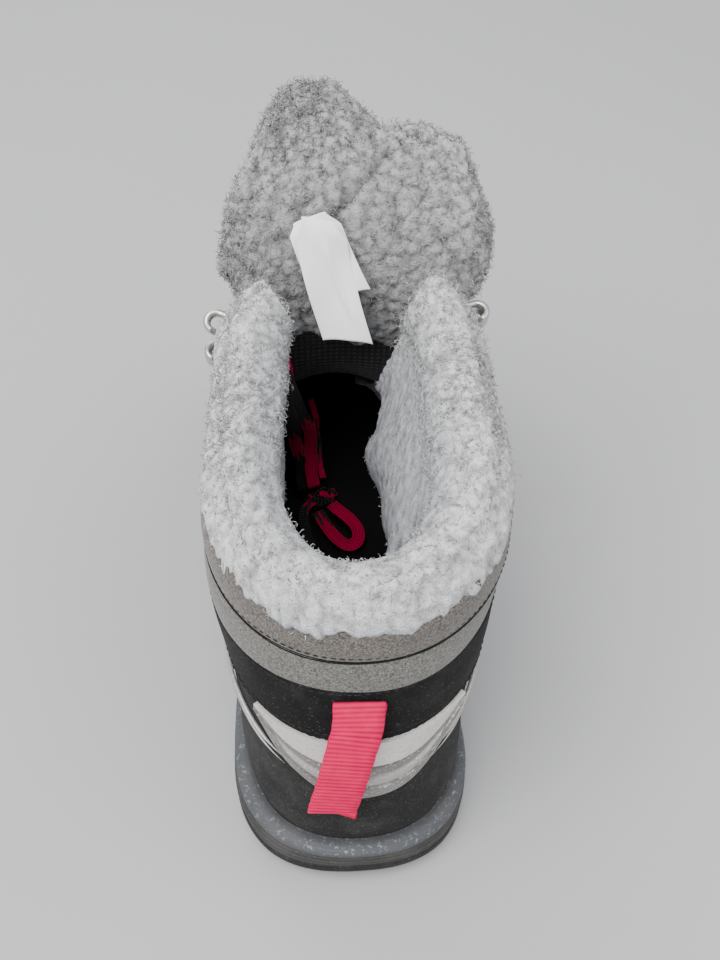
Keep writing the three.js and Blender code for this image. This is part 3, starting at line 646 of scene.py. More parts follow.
def fleece(name, light, shade, gap_shade=0.5):
    """Curly pile with painted shade: where the pile attribute is low, between the knobs, the colour falls to the share
    of its lightness given last (on loose curls that attribute is a random tone instead); the rim attribute mixes the
    shaded, bluish colour painted deep inside with the lit colour of the rim.
    """
    bench = Bench(name, 1.0, Sheen_Weight=0.2, Sheen_Roughness=0.6, Specular_IOR_Level=0.1)
    pile = bench.attribute("pile")
    rim = bench.attribute("rim")
    mottle = bench.noise(2.2, 4, 0.65)
    fibre = bench.noise(0.55, 4, 0.7)
    brushed = bench.noise(1.2, 3, 0.6, stretch=(1, 0.28, 0.28))
    tone = bench.math("ADD", bench.math("MULTIPLY", pile, 0.6), bench.math("MULTIPLY", mottle, 0.5))
    tone = bench.math("ADD", tone, bench.math("MULTIPLY", brushed, 0.3))
    tone = bench.band(tone, 0.50, 0.92)
    # Painted shade: darker between the knobs, and the shaded colour where the rim mask is low, deep inside the boot.
    colour = bench.mix(tone, tuple(c * gap_shade for c in shade), tuple(c * 1.35 for c in shade))
    bright = bench.mix(tone, tuple(c * gap_shade * 1.15 for c in light), light)
    colour = bench.mix(rim, colour, bright)
    colour = bench.mix(bench.band(fibre, 0.38, 0.72, 0.0, 0.25), colour, light)
    grit = bench.band(bench.noise(0.9, 1), 0.70, 0.76)
    bench.set_socket("Base Color", bench.mix(bench.math("MULTIPLY", grit, 0.55), colour, (0.12, 0.12, 0.12)))
    bench.relief(bench.math("ADD", bench.math("MULTIPLY", fibre, 0.6), mottle), 1.0, 1.5)
    return bench.material


def suede(name, colour, speck):
    bench = Bench(name, 0.95, Sheen_Weight=0.2, Sheen_Roughness=0.5, Specular_IOR_Level=0.25)
    fine = bench.noise(0.75, 4, 0.8)
    broad = bench.noise(14, 3)
    base = bench.mix(bench.band(fine, 0.38, 0.64), tuple(c * 0.30 for c in colour), tuple(c * 2.0 for c in colour))
    base = bench.mix(bench.band(broad, 0.35, 0.7, 0, 0.35), base, tuple(c * 0.75 for c in colour))
    dots = bench.band(bench.noise(0.6, 1), 0.64, 0.72)
    base = bench.mix(bench.math("MULTIPLY", dots, 0.6), base, speck)
    bench.set_socket("Base Color", base)
    bench.relief(fine, 0.5, 0.25)
    return bench.material


def nubuck(name, colour, dust, grain=0.7):
    bench = Bench(name, 0.88, Sheen_Weight=0.03, Sheen_Roughness=0.4, Specular_IOR_Level=0.15)
    fine = bench.noise(grain, 4, 0.7)
    marks = bench.group(dust_group(), Amount=dust)
    base = bench.mix(bench.band(fine, 0.3, 0.7), tuple(c * 0.55 for c in colour), tuple(c * 1.5 for c in colour))
    base = bench.mix(bench.math("MULTIPLY", marks["Dust"], 0.22), base, (0.16, 0.155, 0.145))
    base = bench.mix(bench.math("MULTIPLY", marks["Specks"], 0.5), base, (0.22, 0.21, 0.20))
    bench.set_socket("Base Color", base)
    bench.relief(fine, 0.6, 0.3)
    return bench.material


def rubber(name, dark, pale, dust, roughness=0.5):
    bench = Bench(name, roughness, Coat_Weight=0.04, Coat_Roughness=0.4, Specular_IOR_Level=0.2)
    marks = bench.group(dust_group(), Amount=dust)
    # Painted highlight: the lip attribute mixes in the pale bluish colour on the upper band of the cup wall, where it
    # bulges out to the light; the pale scuffs are real wear kept to that band.
    edge = bench.attribute("lip")
    base = bench.mix(bench.band(bench.noise(18, 4), 0.3, 0.7), dark, tuple(c * 1.35 for c in dark))
    base = bench.mix(edge, base, pale)
    scuffs = bench.math("MULTIPLY", bench.band(bench.noise(1.5, 4, 0.7), 0.57, 0.66), bench.band(edge, 0.45, 0.8))
    base = bench.mix(bench.math("MULTIPLY", scuffs, 0.5), base, (0.40, 0.41, 0.43))
    base = bench.mix(bench.math("MULTIPLY", marks["Dust"], 0.4), base, (0.15, 0.145, 0.135))
    base = bench.mix(bench.math("MULTIPLY", marks["Specks"], 0.55), base, (0.30, 0.29, 0.28))
    bench.set_socket("Base Color", base)
    bench.set_socket("Roughness", bench.band(marks["Dust"], 0, 1, roughness, 0.8))
    bench.relief(bench.noise(0.8, 4), 0.25, 0.2)
    return bench.material


def black_pile(name):
    bench = Bench(name, 0.9, Sheen_Weight=0.35, Sheen_Roughness=0.35, Specular_IOR_Level=0.2)
    fine = bench.noise(0.7, 4, 0.75)
    lumps = bench.noise(4.5, 3)
    base = bench.mix(bench.band(fine, 0.42, 0.72), (0.003, 0.003, 0.0033), (0.045, 0.045, 0.050))
    lint = bench.band(bench.noise(0.5, 1), 0.68, 0.74)
    bench.set_socket("Base Color", bench.mix(bench.math("MULTIPLY", lint, 0.5), base, (0.16, 0.16, 0.17)))
    bench.relief(bench.math("ADD", fine, lumps), 0.9, 0.9)
    return bench.material


def woven_black(name, colour=(0.012, 0.012, 0.013), pitch=1.1):
    bench = Bench(name, 0.75, Sheen_Weight=0.15, Specular_IOR_Level=0.3)
    weave = {"Vector": bench.place, "Scale": 1 / (pitch * MM * 6.28), "Distortion": 0.4, "Detail": 1}
    ribs = bench.node("ShaderNodeTexWave", weave, bands_direction="Z").outputs["Fac"]
    cross = bench.node("ShaderNodeTexWave", weave, bands_direction="X").outputs["Fac"]
    height = bench.math("MULTIPLY", ribs, cross)
    base = bench.mix(height, tuple(c * 0.4 for c in colour), tuple(c * 2.6 for c in colour))
    lint = bench.band(bench.noise(0.6, 1), 0.68, 0.74)
    bench.set_socket("Base Color", bench.mix(bench.math("MULTIPLY", lint, 0.4), base, (0.14, 0.14, 0.15)))
    bench.relief(height, 0.7, 0.4)
    return bench.material


def silver_plastic(name, colour):
    bench = Bench(name, 0.34, 0.25, Coat_Weight=0.35, Coat_Roughness=0.2)
    groove_shade = bench.attribute("groove_shade")
    scuffs = bench.band(bench.noise(2.0, 6, 0.75, stretch=(1, 1, 3)), 0.5, 0.75)
    glints = bench.band(bench.noise(0.7, 2), 0.60, 0.70)
    base = bench.mix(bench.noise(9, 3), tuple(c * 0.6 for c in colour), tuple(c * 1.15 for c in colour))
    base = bench.mix(bench.attribute("plate"), base, tuple(min(1, c * 3.2) for c in colour))
    # Painted shade: darker in the recessed grooves between the nested ridges.
    base = bench.mix(groove_shade, base, (0.09, 0.085, 0.08))
    base = bench.mix(bench.math("MULTIPLY", scuffs, 0.5), base, (0.07, 0.066, 0.06))
    base = bench.mix(bench.math("MULTIPLY", glints, 0.5), base, (0.85, 0.84, 0.82))
    bench.set_socket("Base Color", base)
    bench.set_socket("Roughness", bench.band(scuffs, 0, 1, 0.3, 0.62))
    bench.relief(bench.noise(1.2, 4), 0.3, 0.2)
    return bench.material


def webbing(name, colour):
    bench = Bench(name, 0.8, Sheen_Weight=0.04, Sheen_Roughness=0.4, Specular_IOR_Level=0.1)
    rib = bench.attribute("rib")
    threads = bench.noise(0.4, 2)
    # Painted shade: darker between the webbing's ribs, following the rib attribute.
    base = bench.mix(rib, tuple(c * 0.38 for c in colour), colour)
    base = bench.mix(bench.band(bench.noise(5, 3), 0.4, 0.7, 0, 0.2), base, (1.0, 0.03, 0.12))
    bench.set_socket("Base Color", base)
    bench.relief(threads, 0.35, 0.15)
    return bench.material


def lace(name, pink, charcoal):
    bench = Bench(name, 0.8, Sheen_Weight=0.05, Sheen_Roughness=0.4, Specular_IOR_Level=0.12)
    uv = bench.node("ShaderNodeUVMap").outputs[0]
    picks = bench.node("ShaderNodeTexWave", {"Vector": uv, "Scale": 250.0, "Distortion": 0.3}, bands_direction="X")
    picks = picks.outputs["Fac"]
    rib = bench.attribute("rib")
    dark = bench.mix(bench.band(picks, 0.55, 0.95), charcoal, (0.07, 0.07, 0.074))
    bright = bench.mix(bench.band(picks, 0.6, 1, 0, 0.4), pink, tuple(c * 0.35 for c in pink))
    base = bench.mix(bench.attribute("dye"), dark, bright)
    # Painted shade: near-black in the grooves between the lace's ribs.
    base = bench.mix(bench.band(rib, 0.0, 0.45, 1, 0), base, (0.006, 0.004, 0.005))
    bench.set_socket("Base Color", base)
    bench.relief(picks, 0.5, 0.25)
    return bench.material


def cast_metal(name, colour):
    bench = Bench(name, 0.32, 1.0)
    fine = bench.noise(0.5, 3)
    wear = bench.noise(3, 5, 0.7)
    base = bench.mix(bench.band(wear, 0.35, 0.75), colour, tuple(c * 0.6 for c in colour))
    bench.set_socket("Base Color", base)
    bench.set_socket("Roughness", bench.band(wear, 0.3, 0.75, 0.24, 0.5))
    bench.relief(fine, 0.2, 0.1)
    return bench.material


def satin_tape(name):
    bench = Bench(name, 0.55, Sheen_Weight=0.1)
    weave = bench.noise(0.35, 2)
    base = bench.mix(bench.band(bench.noise(5, 3), 0.35, 0.7), (0.93, 0.925, 0.91), (0.97, 0.968, 0.96))
    bench.set_socket("Base Color", bench.mix(bench.band(weave, 0.5, 0.8, 0, 0.2), base, (0.6, 0.6, 0.58)))
    bench.relief(weave, 0.3, 0.1)
    return bench.material


def thread(name, colour):
    bench = Bench(name, 0.8, Sheen_Weight=0.03, Specular_IOR_Level=0.15)
    twist = bench.noise(0.3, 1)
    bench.set_socket("Base Color", bench.mix(twist, tuple(c * 0.5 for c in colour), tuple(c * 1.8 for c in colour)))
    bench.relief(twist, 0.4, 0.1)
    return bench.material


def board(name):
    bench = Bench(name, 0.7, Specular_IOR_Level=0.3)
    fine = bench.noise(0.5, 3)
    base = bench.mix(fine, (0.004, 0.004, 0.0045), (0.018, 0.018, 0.019))
    bench.set_socket("Base Color", base)
    bench.relief(fine, 0.3, 0.2)
    return bench.material


FINISHES = {}


def finish_of(name):
    """The finish of that name, made the first time it is asked for."""
    if name in FINISHES:
        return FINISHES[name]
    if name in bpy.data.materials:
        raise RuntimeError(f"the finish {name} has the name of a material that the frame brought")
    tints = bpy.context.scene.boot_colours
    makers = {
        # Fleece finishes give a lit colour, a shaded colour for the same pile where light does not reach, and the share
        # of lightness left between the knobs as painted shade.
        "collar_plush": lambda: fleece(name, (0.96, 0.945, 0.925), (0.40, 0.418, 0.45), 0.32),
        "tongue_pile": lambda: fleece(name, (0.68, 0.672, 0.668), (0.36, 0.36, 0.364), 0.20),
        "curl_collar": lambda: fleece(name, (0.99, 0.98, 0.96), (0.55, 0.555, 0.57), 0.28),
        "curl_tongue": lambda: fleece(name, (0.74, 0.735, 0.73), (0.45, 0.45, 0.455), 0.18),
        "suede_warm": lambda: suede(name, tuple(tints.suede_warm), (0.34, 0.31, 0.28)),
        "suede_green": lambda: suede(name, tuple(tints.suede_green), (0.36, 0.35, 0.32)),
        "nubuck_band": lambda: nubuck(name, (0.006, 0.0058, 0.0058), 0.6),
        "nubuck_heel": lambda: nubuck(name, (0.015, 0.015, 0.0145), 1.0),
        # The second rubber colour is a painted highlight, shown only on the sole cup's upper band.
        "smoky_rubber": lambda: rubber(name, (0.034, 0.033, 0.031), (0.075, 0.080, 0.088), 0.7),
        "lug_rubber": lambda: rubber(name, (0.011, 0.011, 0.011), (0.02, 0.02, 0.02), 0.6, 0.6),
        "toe_rubber": lambda: rubber(name, (0.008, 0.008, 0.008), (0.016, 0.016, 0.016), 0.6, 0.5),
        "black_pile": lambda: black_pile(name),
        "black_mesh": lambda: woven_black(name),
        "black_cloth": lambda: woven_black(name, (0.010, 0.010, 0.011), 0.8),
        "silver_plastic": lambda: silver_plastic(name, tuple(tints.silver)),
        "pink_webbing": lambda: webbing(name, tuple(tints.pink)),
        "lace_weave": lambda: lace(name, tuple(tints.pink), (0.022, 0.022, 0.024)),
        "cast_metal": lambda: cast_metal(name, (0.66, 0.645, 0.62)),
        "label_tape": lambda: satin_tape(name),
        "dark_thread": lambda: thread(name, (0.016, 0.0155, 0.015)),
        "insole_board": lambda: board(name),
    }
    FINISHES[name] = makers[name]()
    return FINISHES[name]


def paint(obj, *names):
    obj.data.materials.clear()
    for name in names:
        obj.data.materials.append(finish_of(name))
    return obj


def paint_where(obj, choose):
    """Gives each face the material slot that choose(centres) names."""
    mesh = obj.data
    centres = np.empty(len(mesh.polygons) * 3)
    mesh.polygons.foreach_get("center", centres)
    picks = choose(centres.reshape(-1, 3) / MM)
    mesh.polygons.foreach_set("material_index", np.asarray(picks, dtype=np.int32))
    mesh.update()


# ------------------------------------------------------------------ sizes and colours a maker would change
class BootSizes(bpy.types.PropertyGroup):
    pile: bpy.props.FloatProperty(
        name="Pile height", description="How far the plush's knobs stand up", default=0.0017, unit="LENGTH")
    curl: bpy.props.FloatProperty(
        name="Curl length", description="Length of the loose curls of the plush", default=0.0030, unit="LENGTH")
    collar_curls: bpy.props.IntProperty(
        name="Collar curls", description="How many loose curls the collar has", default=9000)
    tongue_curls: bpy.props.IntProperty(
        name="Tongue curls", description="How many loose curls the tongue has", default=7500)
    lace_width: bpy.props.FloatProperty(
        name="Lace width", description="Width of the flat lace", default=0.0055, unit="LENGTH")
    stitch: bpy.props.FloatProperty(
        name="Stitch pitch", description="Distance from stitch to stitch", default=0.0027, unit="LENGTH")
    loop_width: bpy.props.FloatProperty(
        name="Pull loop width", description="Width of the heel's webbing", default=0.015, unit="LENGTH")


class BootColours(bpy.types.PropertyGroup):
    pink: bpy.props.FloatVectorProperty(
        name="Pink", description="Webbing and lace", subtype="COLOR", size=3, default=(0.72, 0.001, 0.085))
    suede_warm: bpy.props.FloatVectorProperty(
        name="Warm suede", description="Upper band", subtype="COLOR", size=3, default=(0.100, 0.088, 0.077))
    suede_green: bpy.props.FloatVectorProperty(
        name="Cool suede", description="Lower band", subtype="COLOR", size=3, default=(0.114, 0.110, 0.097))
    silver: bpy.props.FloatVectorProperty(
        name="Silver", description="Heel counter", subtype="COLOR", size=3, default=(0.20, 0.192, 0.18))


# ------------------------------------------------------------------ plush
def curls(name, points, normals, weight, count, length, material, seed):
    """Loose curls of pile: thin three-sided hairs that rise, bend over and come back."""
    rng = np.random.default_rng(seed)
    pick = rng.choice(len(points), count, p=weight / weight.sum())
    root = points[pick] + rng.normal(0, 0.4, (count, 3))
    up = unit(normals[pick] + rng.normal(0, 0.35, (count, 3)))
    side = unit(np.cross(up, rng.normal(0, 1, (count, 3))))
    other = np.cross(up, side)
    length = np.broadcast_to(length, len(points))[pick][:, None]
    reach = length * rng.uniform(0.45, 1.1, count)[:, None]
    spin = rng.uniform(2.2, 4.6, count)[:, None]
    wide = length * rng.uniform(0.14, 0.34, count)[:, None]
    rings = []
    steps = 3
    for k in range(steps + 1):
        t = k / steps
        centre = (
            root + up * (reach * 0.55 * math.sin(math.pi * 0.7 * t) - 0.4)
            + side * reach * 0.75 * t + other * wide * np.sin(spin * t)
        )
        thick = 0.17 * (1 - 0.65 * t)
        for corner in range(3):
            a = 2 * math.pi * corner / 3
            rings.append(centre + (up * math.cos(a) + other * math.sin(a)) * thick)
    verts = np.stack(rings, axis=1).reshape(-1, 3)
    per = 3 * (steps + 1)
    pattern = [
        (3 * k + i, 3 * k + (i + 1) % 3, 3 * k + 3 + (i + 1) % 3, 3 * k + 3 + i)
        for k in range(steps) for i in range(3)
    ] + [(2, 1, 0), (3 * steps, 3 * steps + 1, 3 * steps + 2)]
    faces = [tuple(base + i for i in face) for base in range(0, count * per, per) for face in pattern]
    obj = mesh_piece(name, verts, faces)
    # Each curl gets a random tone in the pile attribute and, through a rim value of one, the full lit colour (painted
    # light).
    tone = rng.uniform(0.0, 1.0, count)
    store(obj.data, "pile", np.repeat(tone, per))
    store(obj.data, "rim", np.ones(count * per))
    obj.data.materials.append(material)
    return obj


def raise_pile(obj, height, amount, coarse=3.6, fine=1.7, seed=3):
    """Pushes the surface out into knobs, and keeps their height so the colour can paint shade between them."""
    mesh = obj.data
    points, normals = read_points(mesh), read_normals(mesh)
    drift = np.stack([wander(points, 5.0, seed + k) for k in (11, 12, 13)], axis=1) - 0.5
    bent = points + 2.4 * drift
    knob = 0.62 * knobs(bent, coarse, seed) + 0.38 * knobs(bent, fine, seed + 1)
    broad = wander(points, 11.0, seed + 2) - 0.5
    amount = np.broadcast_to(np.asarray(amount, float), (len(points),))
    write_points(mesh, points + normals * (amount * (height * (knob - 0.35) + 1.1 * broad))[:, None])
    store(mesh, "pile", np.clip(knob * 1.5 - 0.1, 0, 1))
    return points, normals


PLUSH_SWELL = 2.4  # how far the lining stands in from the wall all round
PLUSH_BULGE = 7.0  # and how much further on the outer side
COUNTER_REACH = 30  # half the width of the heel counter

# Stations of the collar's section. First come the outside's lower edge and the rim, then the inside.
COLLAR_SPANS = (3, 5, 6, 8, 8, 8, 8, 10, 14, 16, 16, 5, 3, 5, 4)


def plush_floor(turn):
    """The row at which the plush ends inside the boot, with its ragged scallops."""
    s = np.abs(fold_turn(turn))
    level = np.interp(s, [0.5, 0.8, 1.0, 1.25, 1.5, 1.75, 2.0, 2.4, 3.0], [7.3, 7.0, 6.3, 5.7, 5.3, 5.5, 4.9, 5.0, 5.3])
    return level + 0.16 * np.sin(9.0 * turn) + 0.08 * np.sin(23.0 * turn + 1)


def collar_stations(turn):
    """Points of the section for each turn round the collar, as (stations, columns, 3)."""
    thick = wall(LAST_ROW, turn)
    top_out = on_foot(LAST_ROW, turn, np.full_like(turn, -1.6))
    top_in = on_foot(LAST_ROW, turn, -thick - 2.0)
    middle = (top_out + top_in) / 2
    reach = top_out - middle
    height = np.linalg.norm(reach, axis=-1, keepdims=True)
    rise = unit(foot_point(LAST_ROW, turn) - foot_point(LAST_ROW - 0.2, turn)) + np.array([0, 0, 1.2])
    rise = unit(rise) * height * 0.92
    crown = [middle + reach * math.cos(math.radians(d)) + rise * math.sin(math.radians(d)) for d in (40, 90, 140)]
    floor = plush_floor(turn)
    fold = 3.2 * np.exp(-((np.abs(fold_turn(turn)) - 1.05) / 0.22) ** 2) * (fold_turn(turn) > 0)
    away = fold_turn(turn)
    bulge = PLUSH_BULGE * smooth(away, 0.75, 1.15) * smooth(away, 2.55, 2.05)
    bulge = bulge * (1 + 0.22 * np.sin(6.5 * turn + 0.6) + 0.10 * np.sin(17 * turn))
    inside = []
    for share, depth, swell in (
        (0.0, 0.0, 0.0), (0.22, -0.6, 0.15), (0.5, 0.4, 0.55), (0.78, 0.8, 0.95), (0.97, 0.2, 1.0),
    ):
        at = LAST_ROW + (floor - LAST_ROW) * share
        dent = fold * math.sin(math.pi * min(1, share + 0.1))
        inside.append(on_foot(at, turn, -wall(at, turn) - PLUSH_SWELL - depth - swell * bulge + dent))
    hem = 9.90 + 0.10 * np.sin(17 * turn) + 0.08 * np.sin(41 * turn + 1) + 0.06 * np.sin(97 * turn)
    return np.stack([
        on_foot(np.full_like(turn, 9.75), turn, np.full_like(turn, -2.0)),
        on_foot(hem, turn, np.full_like(turn, 1.4)),
        on_foot(np.full_like(turn, 10.4), turn, np.full_like(turn, 0.5)),
        top_out, *crown, *inside,
        on_foot(floor - 0.05, turn, -wall(floor, turn) + 2.5),
        on_foot(floor + 0.35, turn, -wall(floor, turn) * 0.55),
        on_foot(np.full_like(turn, 8.0), turn, -wall(8.0, turn) * 0.5),
    ])


def place_collar(u, v):
    rows = sum(COLLAR_SPANS)
    knot_rows = np.concatenate([[0], np.cumsum(COLLAR_SPANS)])
    station_at = np.interp(np.arange(rows + 1), knot_rows, np.arange(len(COLLAR_SPANS) + 1))
    columns = np.unique(u)
    turn = around(columns, np.full_like(columns, 10.0), 0.0)
    stations = collar_stations(turn)
    count = len(stations)
    t = station_at[np.round(v * rows).astype(int)]
    column = np.searchsorted(columns, u)
    i = np.floor(t).astype(int)
    f = (t - i)[:, None]
    a, b, c, d = (stations[(i + k) % count, column] for k in (-1, 0, 1, 2))
    points = 0.5 * (2 * b + (c - a) * f + (2 * a - 5 * b + 4 * c - d) * f**2 + (3 * b - a - 3 * c + d) * f**3)
    # The two front ends are rounded: the section closes on the middle of the wall.
    at = np.clip(np.interp(points[:, 2], [80, 150], [6.6, LAST_ROW]), 0, LAST_ROW)
    spine = on_foot(at, turn[column], -wall(at, turn[column]) * 0.45)
    spine[:, 2] = points[:, 2]
    end = np.minimum(u, 1 - u) * 330
    close = np.sqrt(1 - (1 - np.clip(end / 8.0, 0, 1)) ** 2)[:, None]
    points = spine + (points - spine) * close
    facing = points - np.stack([points[:, 0] * 0.6, np.clip(points[:, 1], -5, 70), np.full(len(points), 60.0)], axis=1)
    return points, facing


class BOOT_OT_collar(bpy.types.Operator):
    """Pads the collar with plush, over the rim and down the inside"""
    bl_idname = "boot.collar"
    bl_label = "Plush collar"

    def execute(self, context):
        sizes = context.scene.boot_sizes
        collar = grid_piece("collar_plush", 300, sum(COLLAR_SPANS), place_collar)
        weld(collar, 0.01)
        edit(collar, lambda: bpy.ops.mesh.normals_make_consistent(inside=False))
        points = read_points(collar.data)
        # Painted light and shade: the rim mask is high on the outside and the top, where the plush is lit, and low deep
        # inside, where the fleece finish paints it shaded and bluish.
        outer_low = smooth(points[:, 2], 118, 142)
        spine_y = np.clip(points[:, 1], 5, 60)
        radial = np.hypot(points[:, 0], points[:, 1] - spine_y)
        inner = smooth(radial, 36, 24)
        rim = np.clip(outer_low * (1 - 0.85 * inner) + 0.55 * smooth(points[:, 2], 150, 160), 0, 1)
        amount = 1 - 0.5 * inner * smooth(points[:, 2], 152, 135)
        raise_pile(collar, sizes.pile / MM, amount)
        store(collar.data, "rim", rim)
        paint(collar, "collar_plush")
        ride(collar, "upper_suede")
        points, normals = read_points(collar.data), read_normals(collar.data)
        weight = 0.12 + rim + 0.8 * smooth(points[:, 2], 125, 150)
        weight = weight * (points[:, 2] > 70) * (0.75 + 0.25 * smooth(points[:, 2], 132, 142))
        reach = sizes.curl / MM * (0.6 + 0.4 * smooth(points[:, 2], 136, 150))
        hair = curls("collar_curls", points, normals, weight, sizes.collar_curls, reach,
                     finish_of("curl_collar"), 5)
        ride(hair, "upper_suede")
        return {"FINISHED"}


# ------------------------------------------------------------------ tongue
def tongue_top(x):
    return np.interp(x, [-38, -34, -30, -23, -16, -9, -2, 3, 10, 16, 22, 28, 36, 42, 48, 52],
                     [163, 181, 188, 195, 200, 203.5, 204, 202, 195, 189.5, 189, 189.5, 188, 185, 180, 173])


def tongue_sides(z):
    left = np.interp(z, [55, 100, 113, 128, 145, 163, 181, 194, 205], [-15, -22, -27, -26, -33, -38, -35, -24, -16])
    right = np.interp(z, [55, 100, 113, 128, 144, 160, 174, 184, 205], [15, 22, 27, 36, 50.5, 54, 54, 51.5, 45])
    return left, right


TONGUE_LOW = 56.0


def tongue_surface(u, v, back):
    """A point of one face of the tongue: u across, v up; `back` is 0 on the outer face, 1 on the plush."""
    z = TONGUE_LOW + (205 - TONGUE_LOW) * v
    left, right = tongue_sides(z)
    w = 2 * u - 1
    bow = np.sign(w) * (1 - (1 - np.abs(w)) ** 1.25)
    x = np.where(bow < 0, -left * bow, right * bow)
    z = z + (tongue_top(x) - 205) * v**3
    table_z = blend_table(TONGUE, TONGUE_COLUMNS, np.linspace(0, 9, 181))["z"]
    at = np.interp(z, table_z, np.linspace(0, 9, 181))
    row = blend_table(TONGUE, TONGUE_COLUMNS, at)
    rim = np.clip(np.minimum((1 - np.abs(w)) * 34, (1 - v) * 100), 0, None)
    plump = np.sqrt(1 - (1 - np.clip(rim / 7.0, 0, 1)) ** 2)
    thick = row["thick"]
    centre = tongue_point(at, x, thick * 0.5)
    lean = np.radians(row["lean"])
    out = np.stack([np.zeros_like(x), np.cos(lean), np.sin(lean)], axis=1)
    side = np.where(back > 0.5, -1.0, 1.0)
    low = smooth(z, 118, 128)
    grow = np.where(back > 0.5, 0.5 + 0.12 * low, 0.5)
    crease = 3.4 * np.exp(-(((x - 4) * 0.70 + (z - 166) * -0.71) / 2.6) ** 2)
    crease = crease * smooth(z, 150, 160) * smooth(z, 186, 172)
    dip = 2.2 * np.exp(-((x - 13) / 6.0) ** 2) * smooth(z, 150, 190)
    hollow = 2.0 * np.exp(-((x + 6) / 15.0) ** 2) * np.exp(-((z - 140) / 12.0) ** 2)
    dent = np.where(back > 0.5, crease + dip + hollow - 1.2 * low, 0)
    half = np.clip(thick * grow - dent, 0.5, None) * plump
    return centre + out * (side * half)[:, None], out * side[:, None], x, z


class BOOT_OT_tongue(bpy.types.Operator):
    """Makes the tongue: plush behind, black cloth in front, black mesh at its root"""
    bl_idname = "boot.tongue"
    bl_label = "Tongue"

    def execute(self, context):
        sizes = context.scene.boot_sizes
        faces = []
        for name, back, columns, rows in (("tongue_front", 0, 90, 130), ("tongue_plush", 1, 110, 170)):
            def place(u, v, back=back):
                points, facing, _, _ = tongue_surface(u, v, np.full_like(u, back))
                return points, facing
            faces.append(grid_piece(name, columns, rows, place))
        front, plush = faces
        points = read_points(plush.data)
        edge_z = 118 + 8 * smooth(-points[:, 0], -10, 18) + 1.5 * np.sin(points[:, 0] * 0.55)
        shown = smooth(points[:, 2], edge_z - 1.0, edge_z + 1.5)
        raise_pile(plush, sizes.pile / MM * 1.35, 0.12 + 0.88 * shown, seed=21)
        pushed, normals = read_points(plush.data), read_normals(plush.data)
        taper = smooth(pushed[:, 2], 204, 196)[:, None]
        write_points(plush.data, pushed + normals * (2.2 * shown)[:, None] * taper * 0.4)
        # Painted light: the rim mask lightens the plush towards the top and the outer edge, where more light falls.
        store(plush.data, "rim", 0.45 * smooth(points[:, 2], 165, 200) + 0.4 * smooth(points[:, 0], 25, 48))
        paint(plush, "tongue_pile", "black_mesh")
        paint_where(plush, lambda c: c[:, 2] < 117.5 + 8 * smooth(-c[:, 0], -10, 18) + 1.5 * np.sin(c[:, 0] * 0.55))
        paint(front, "black_cloth")
        for piece in (plush, front):
            ride(piece, "tongue_plush", "tongue")
        points, normals = read_points(plush.data), read_normals(plush.data)
        rim = 0.6 + 1.3 * smooth(points[:, 2], 185, 200) + 1.2 * smooth(np.abs(points[:, 0] - 8), 36, 44)
        weight = rim * (points[:, 2] > 128)
        hair = curls("tongue_curls", points, normals, weight, sizes.tongue_curls, sizes.curl / MM * 0.9,
                     finish_of("curl_tongue"), 9)
        ride(hair, "tongue_plush")
        return {"FINISHED"}


# ------------------------------------------------------------------ upper
SHELL_SPANS = (74, 3, 4, 10, 3, 40)


def place_shell(u, v):
    rows = sum(SHELL_SPANS)
    marks = np.concatenate([[0], np.cumsum(SHELL_SPANS)])
    k = np.round(v * rows)
    stage = np.interp(k, marks, np.arange(len(marks)))
    seen = np.interp(k, marks[:3], [0, 10.2, 10.3])
    turn_seen = around(u, seen)
    floor = plush_floor(around(u, np.full_like(u, 9.0))) + 0.25
    inner_row = np.where(stage < 4, 10.2 + (floor + 0.6 - 10.2) * np.clip(stage - 3, 0, 1),
                         np.where(stage < 5, floor + 0.6 - 0.6 * (stage - 4), floor * (6 - stage)))
    row = np.where(stage <= 2, seen, np.where(stage <= 3, 10.25, inner_row))
    turn = np.where(stage <= 2, turn_seen, around(u, row))
    thick = wall(row, turn)
    depth = np.select(
        [stage <= 1, stage <= 2, stage <= 3, stage <= 4, stage <= 5],
        [0 * thick, 0.4 * (stage - 1), 0.4 + 2.6 * (stage - 2), 3 + 0 * thick,
         3 + (thick - 3.4) * (stage - 4)], thick - 0.2)
    points = on_foot(row, turn, -depth)
    lump = (stage > 4.6) * smooth(stage, 4.6, 5.0)
    bumps = 2.6 * (wander(points, 9.0, 61) - 0.35) + 1.2 * knobs(points, 4.0, 62)
    points = points + foot_normal(row, turn) * (-bumps * lump * smooth(row, 0.3, 1.5))[:, None]
    facing = foot_normal(row, turn) * np.where(stage <= 2, 1.0, -1.0)[:, None]
    return points, facing


def strip_on_foot(name, columns, rows, region, lift, thick, material, bevel=0.5):
    """A panel sewn on the upper: region(u, v) gives its row and turn, lift(u, v) its height."""
    def place(u, v):
        at, turn = region(u, v)
        return on_foot(at, turn, lift(u, v)), foot_normal(at, turn)
    obj = grid_piece(name, columns, rows, place)
    modify(obj, "SOLIDIFY", thickness=thick * MM, offset=-1)
    modify(obj, "BEVEL", width=bevel * MM, segments=2, limit_method="ANGLE", angle_limit=math.radians(50))
    paint(obj, material)
    return obj


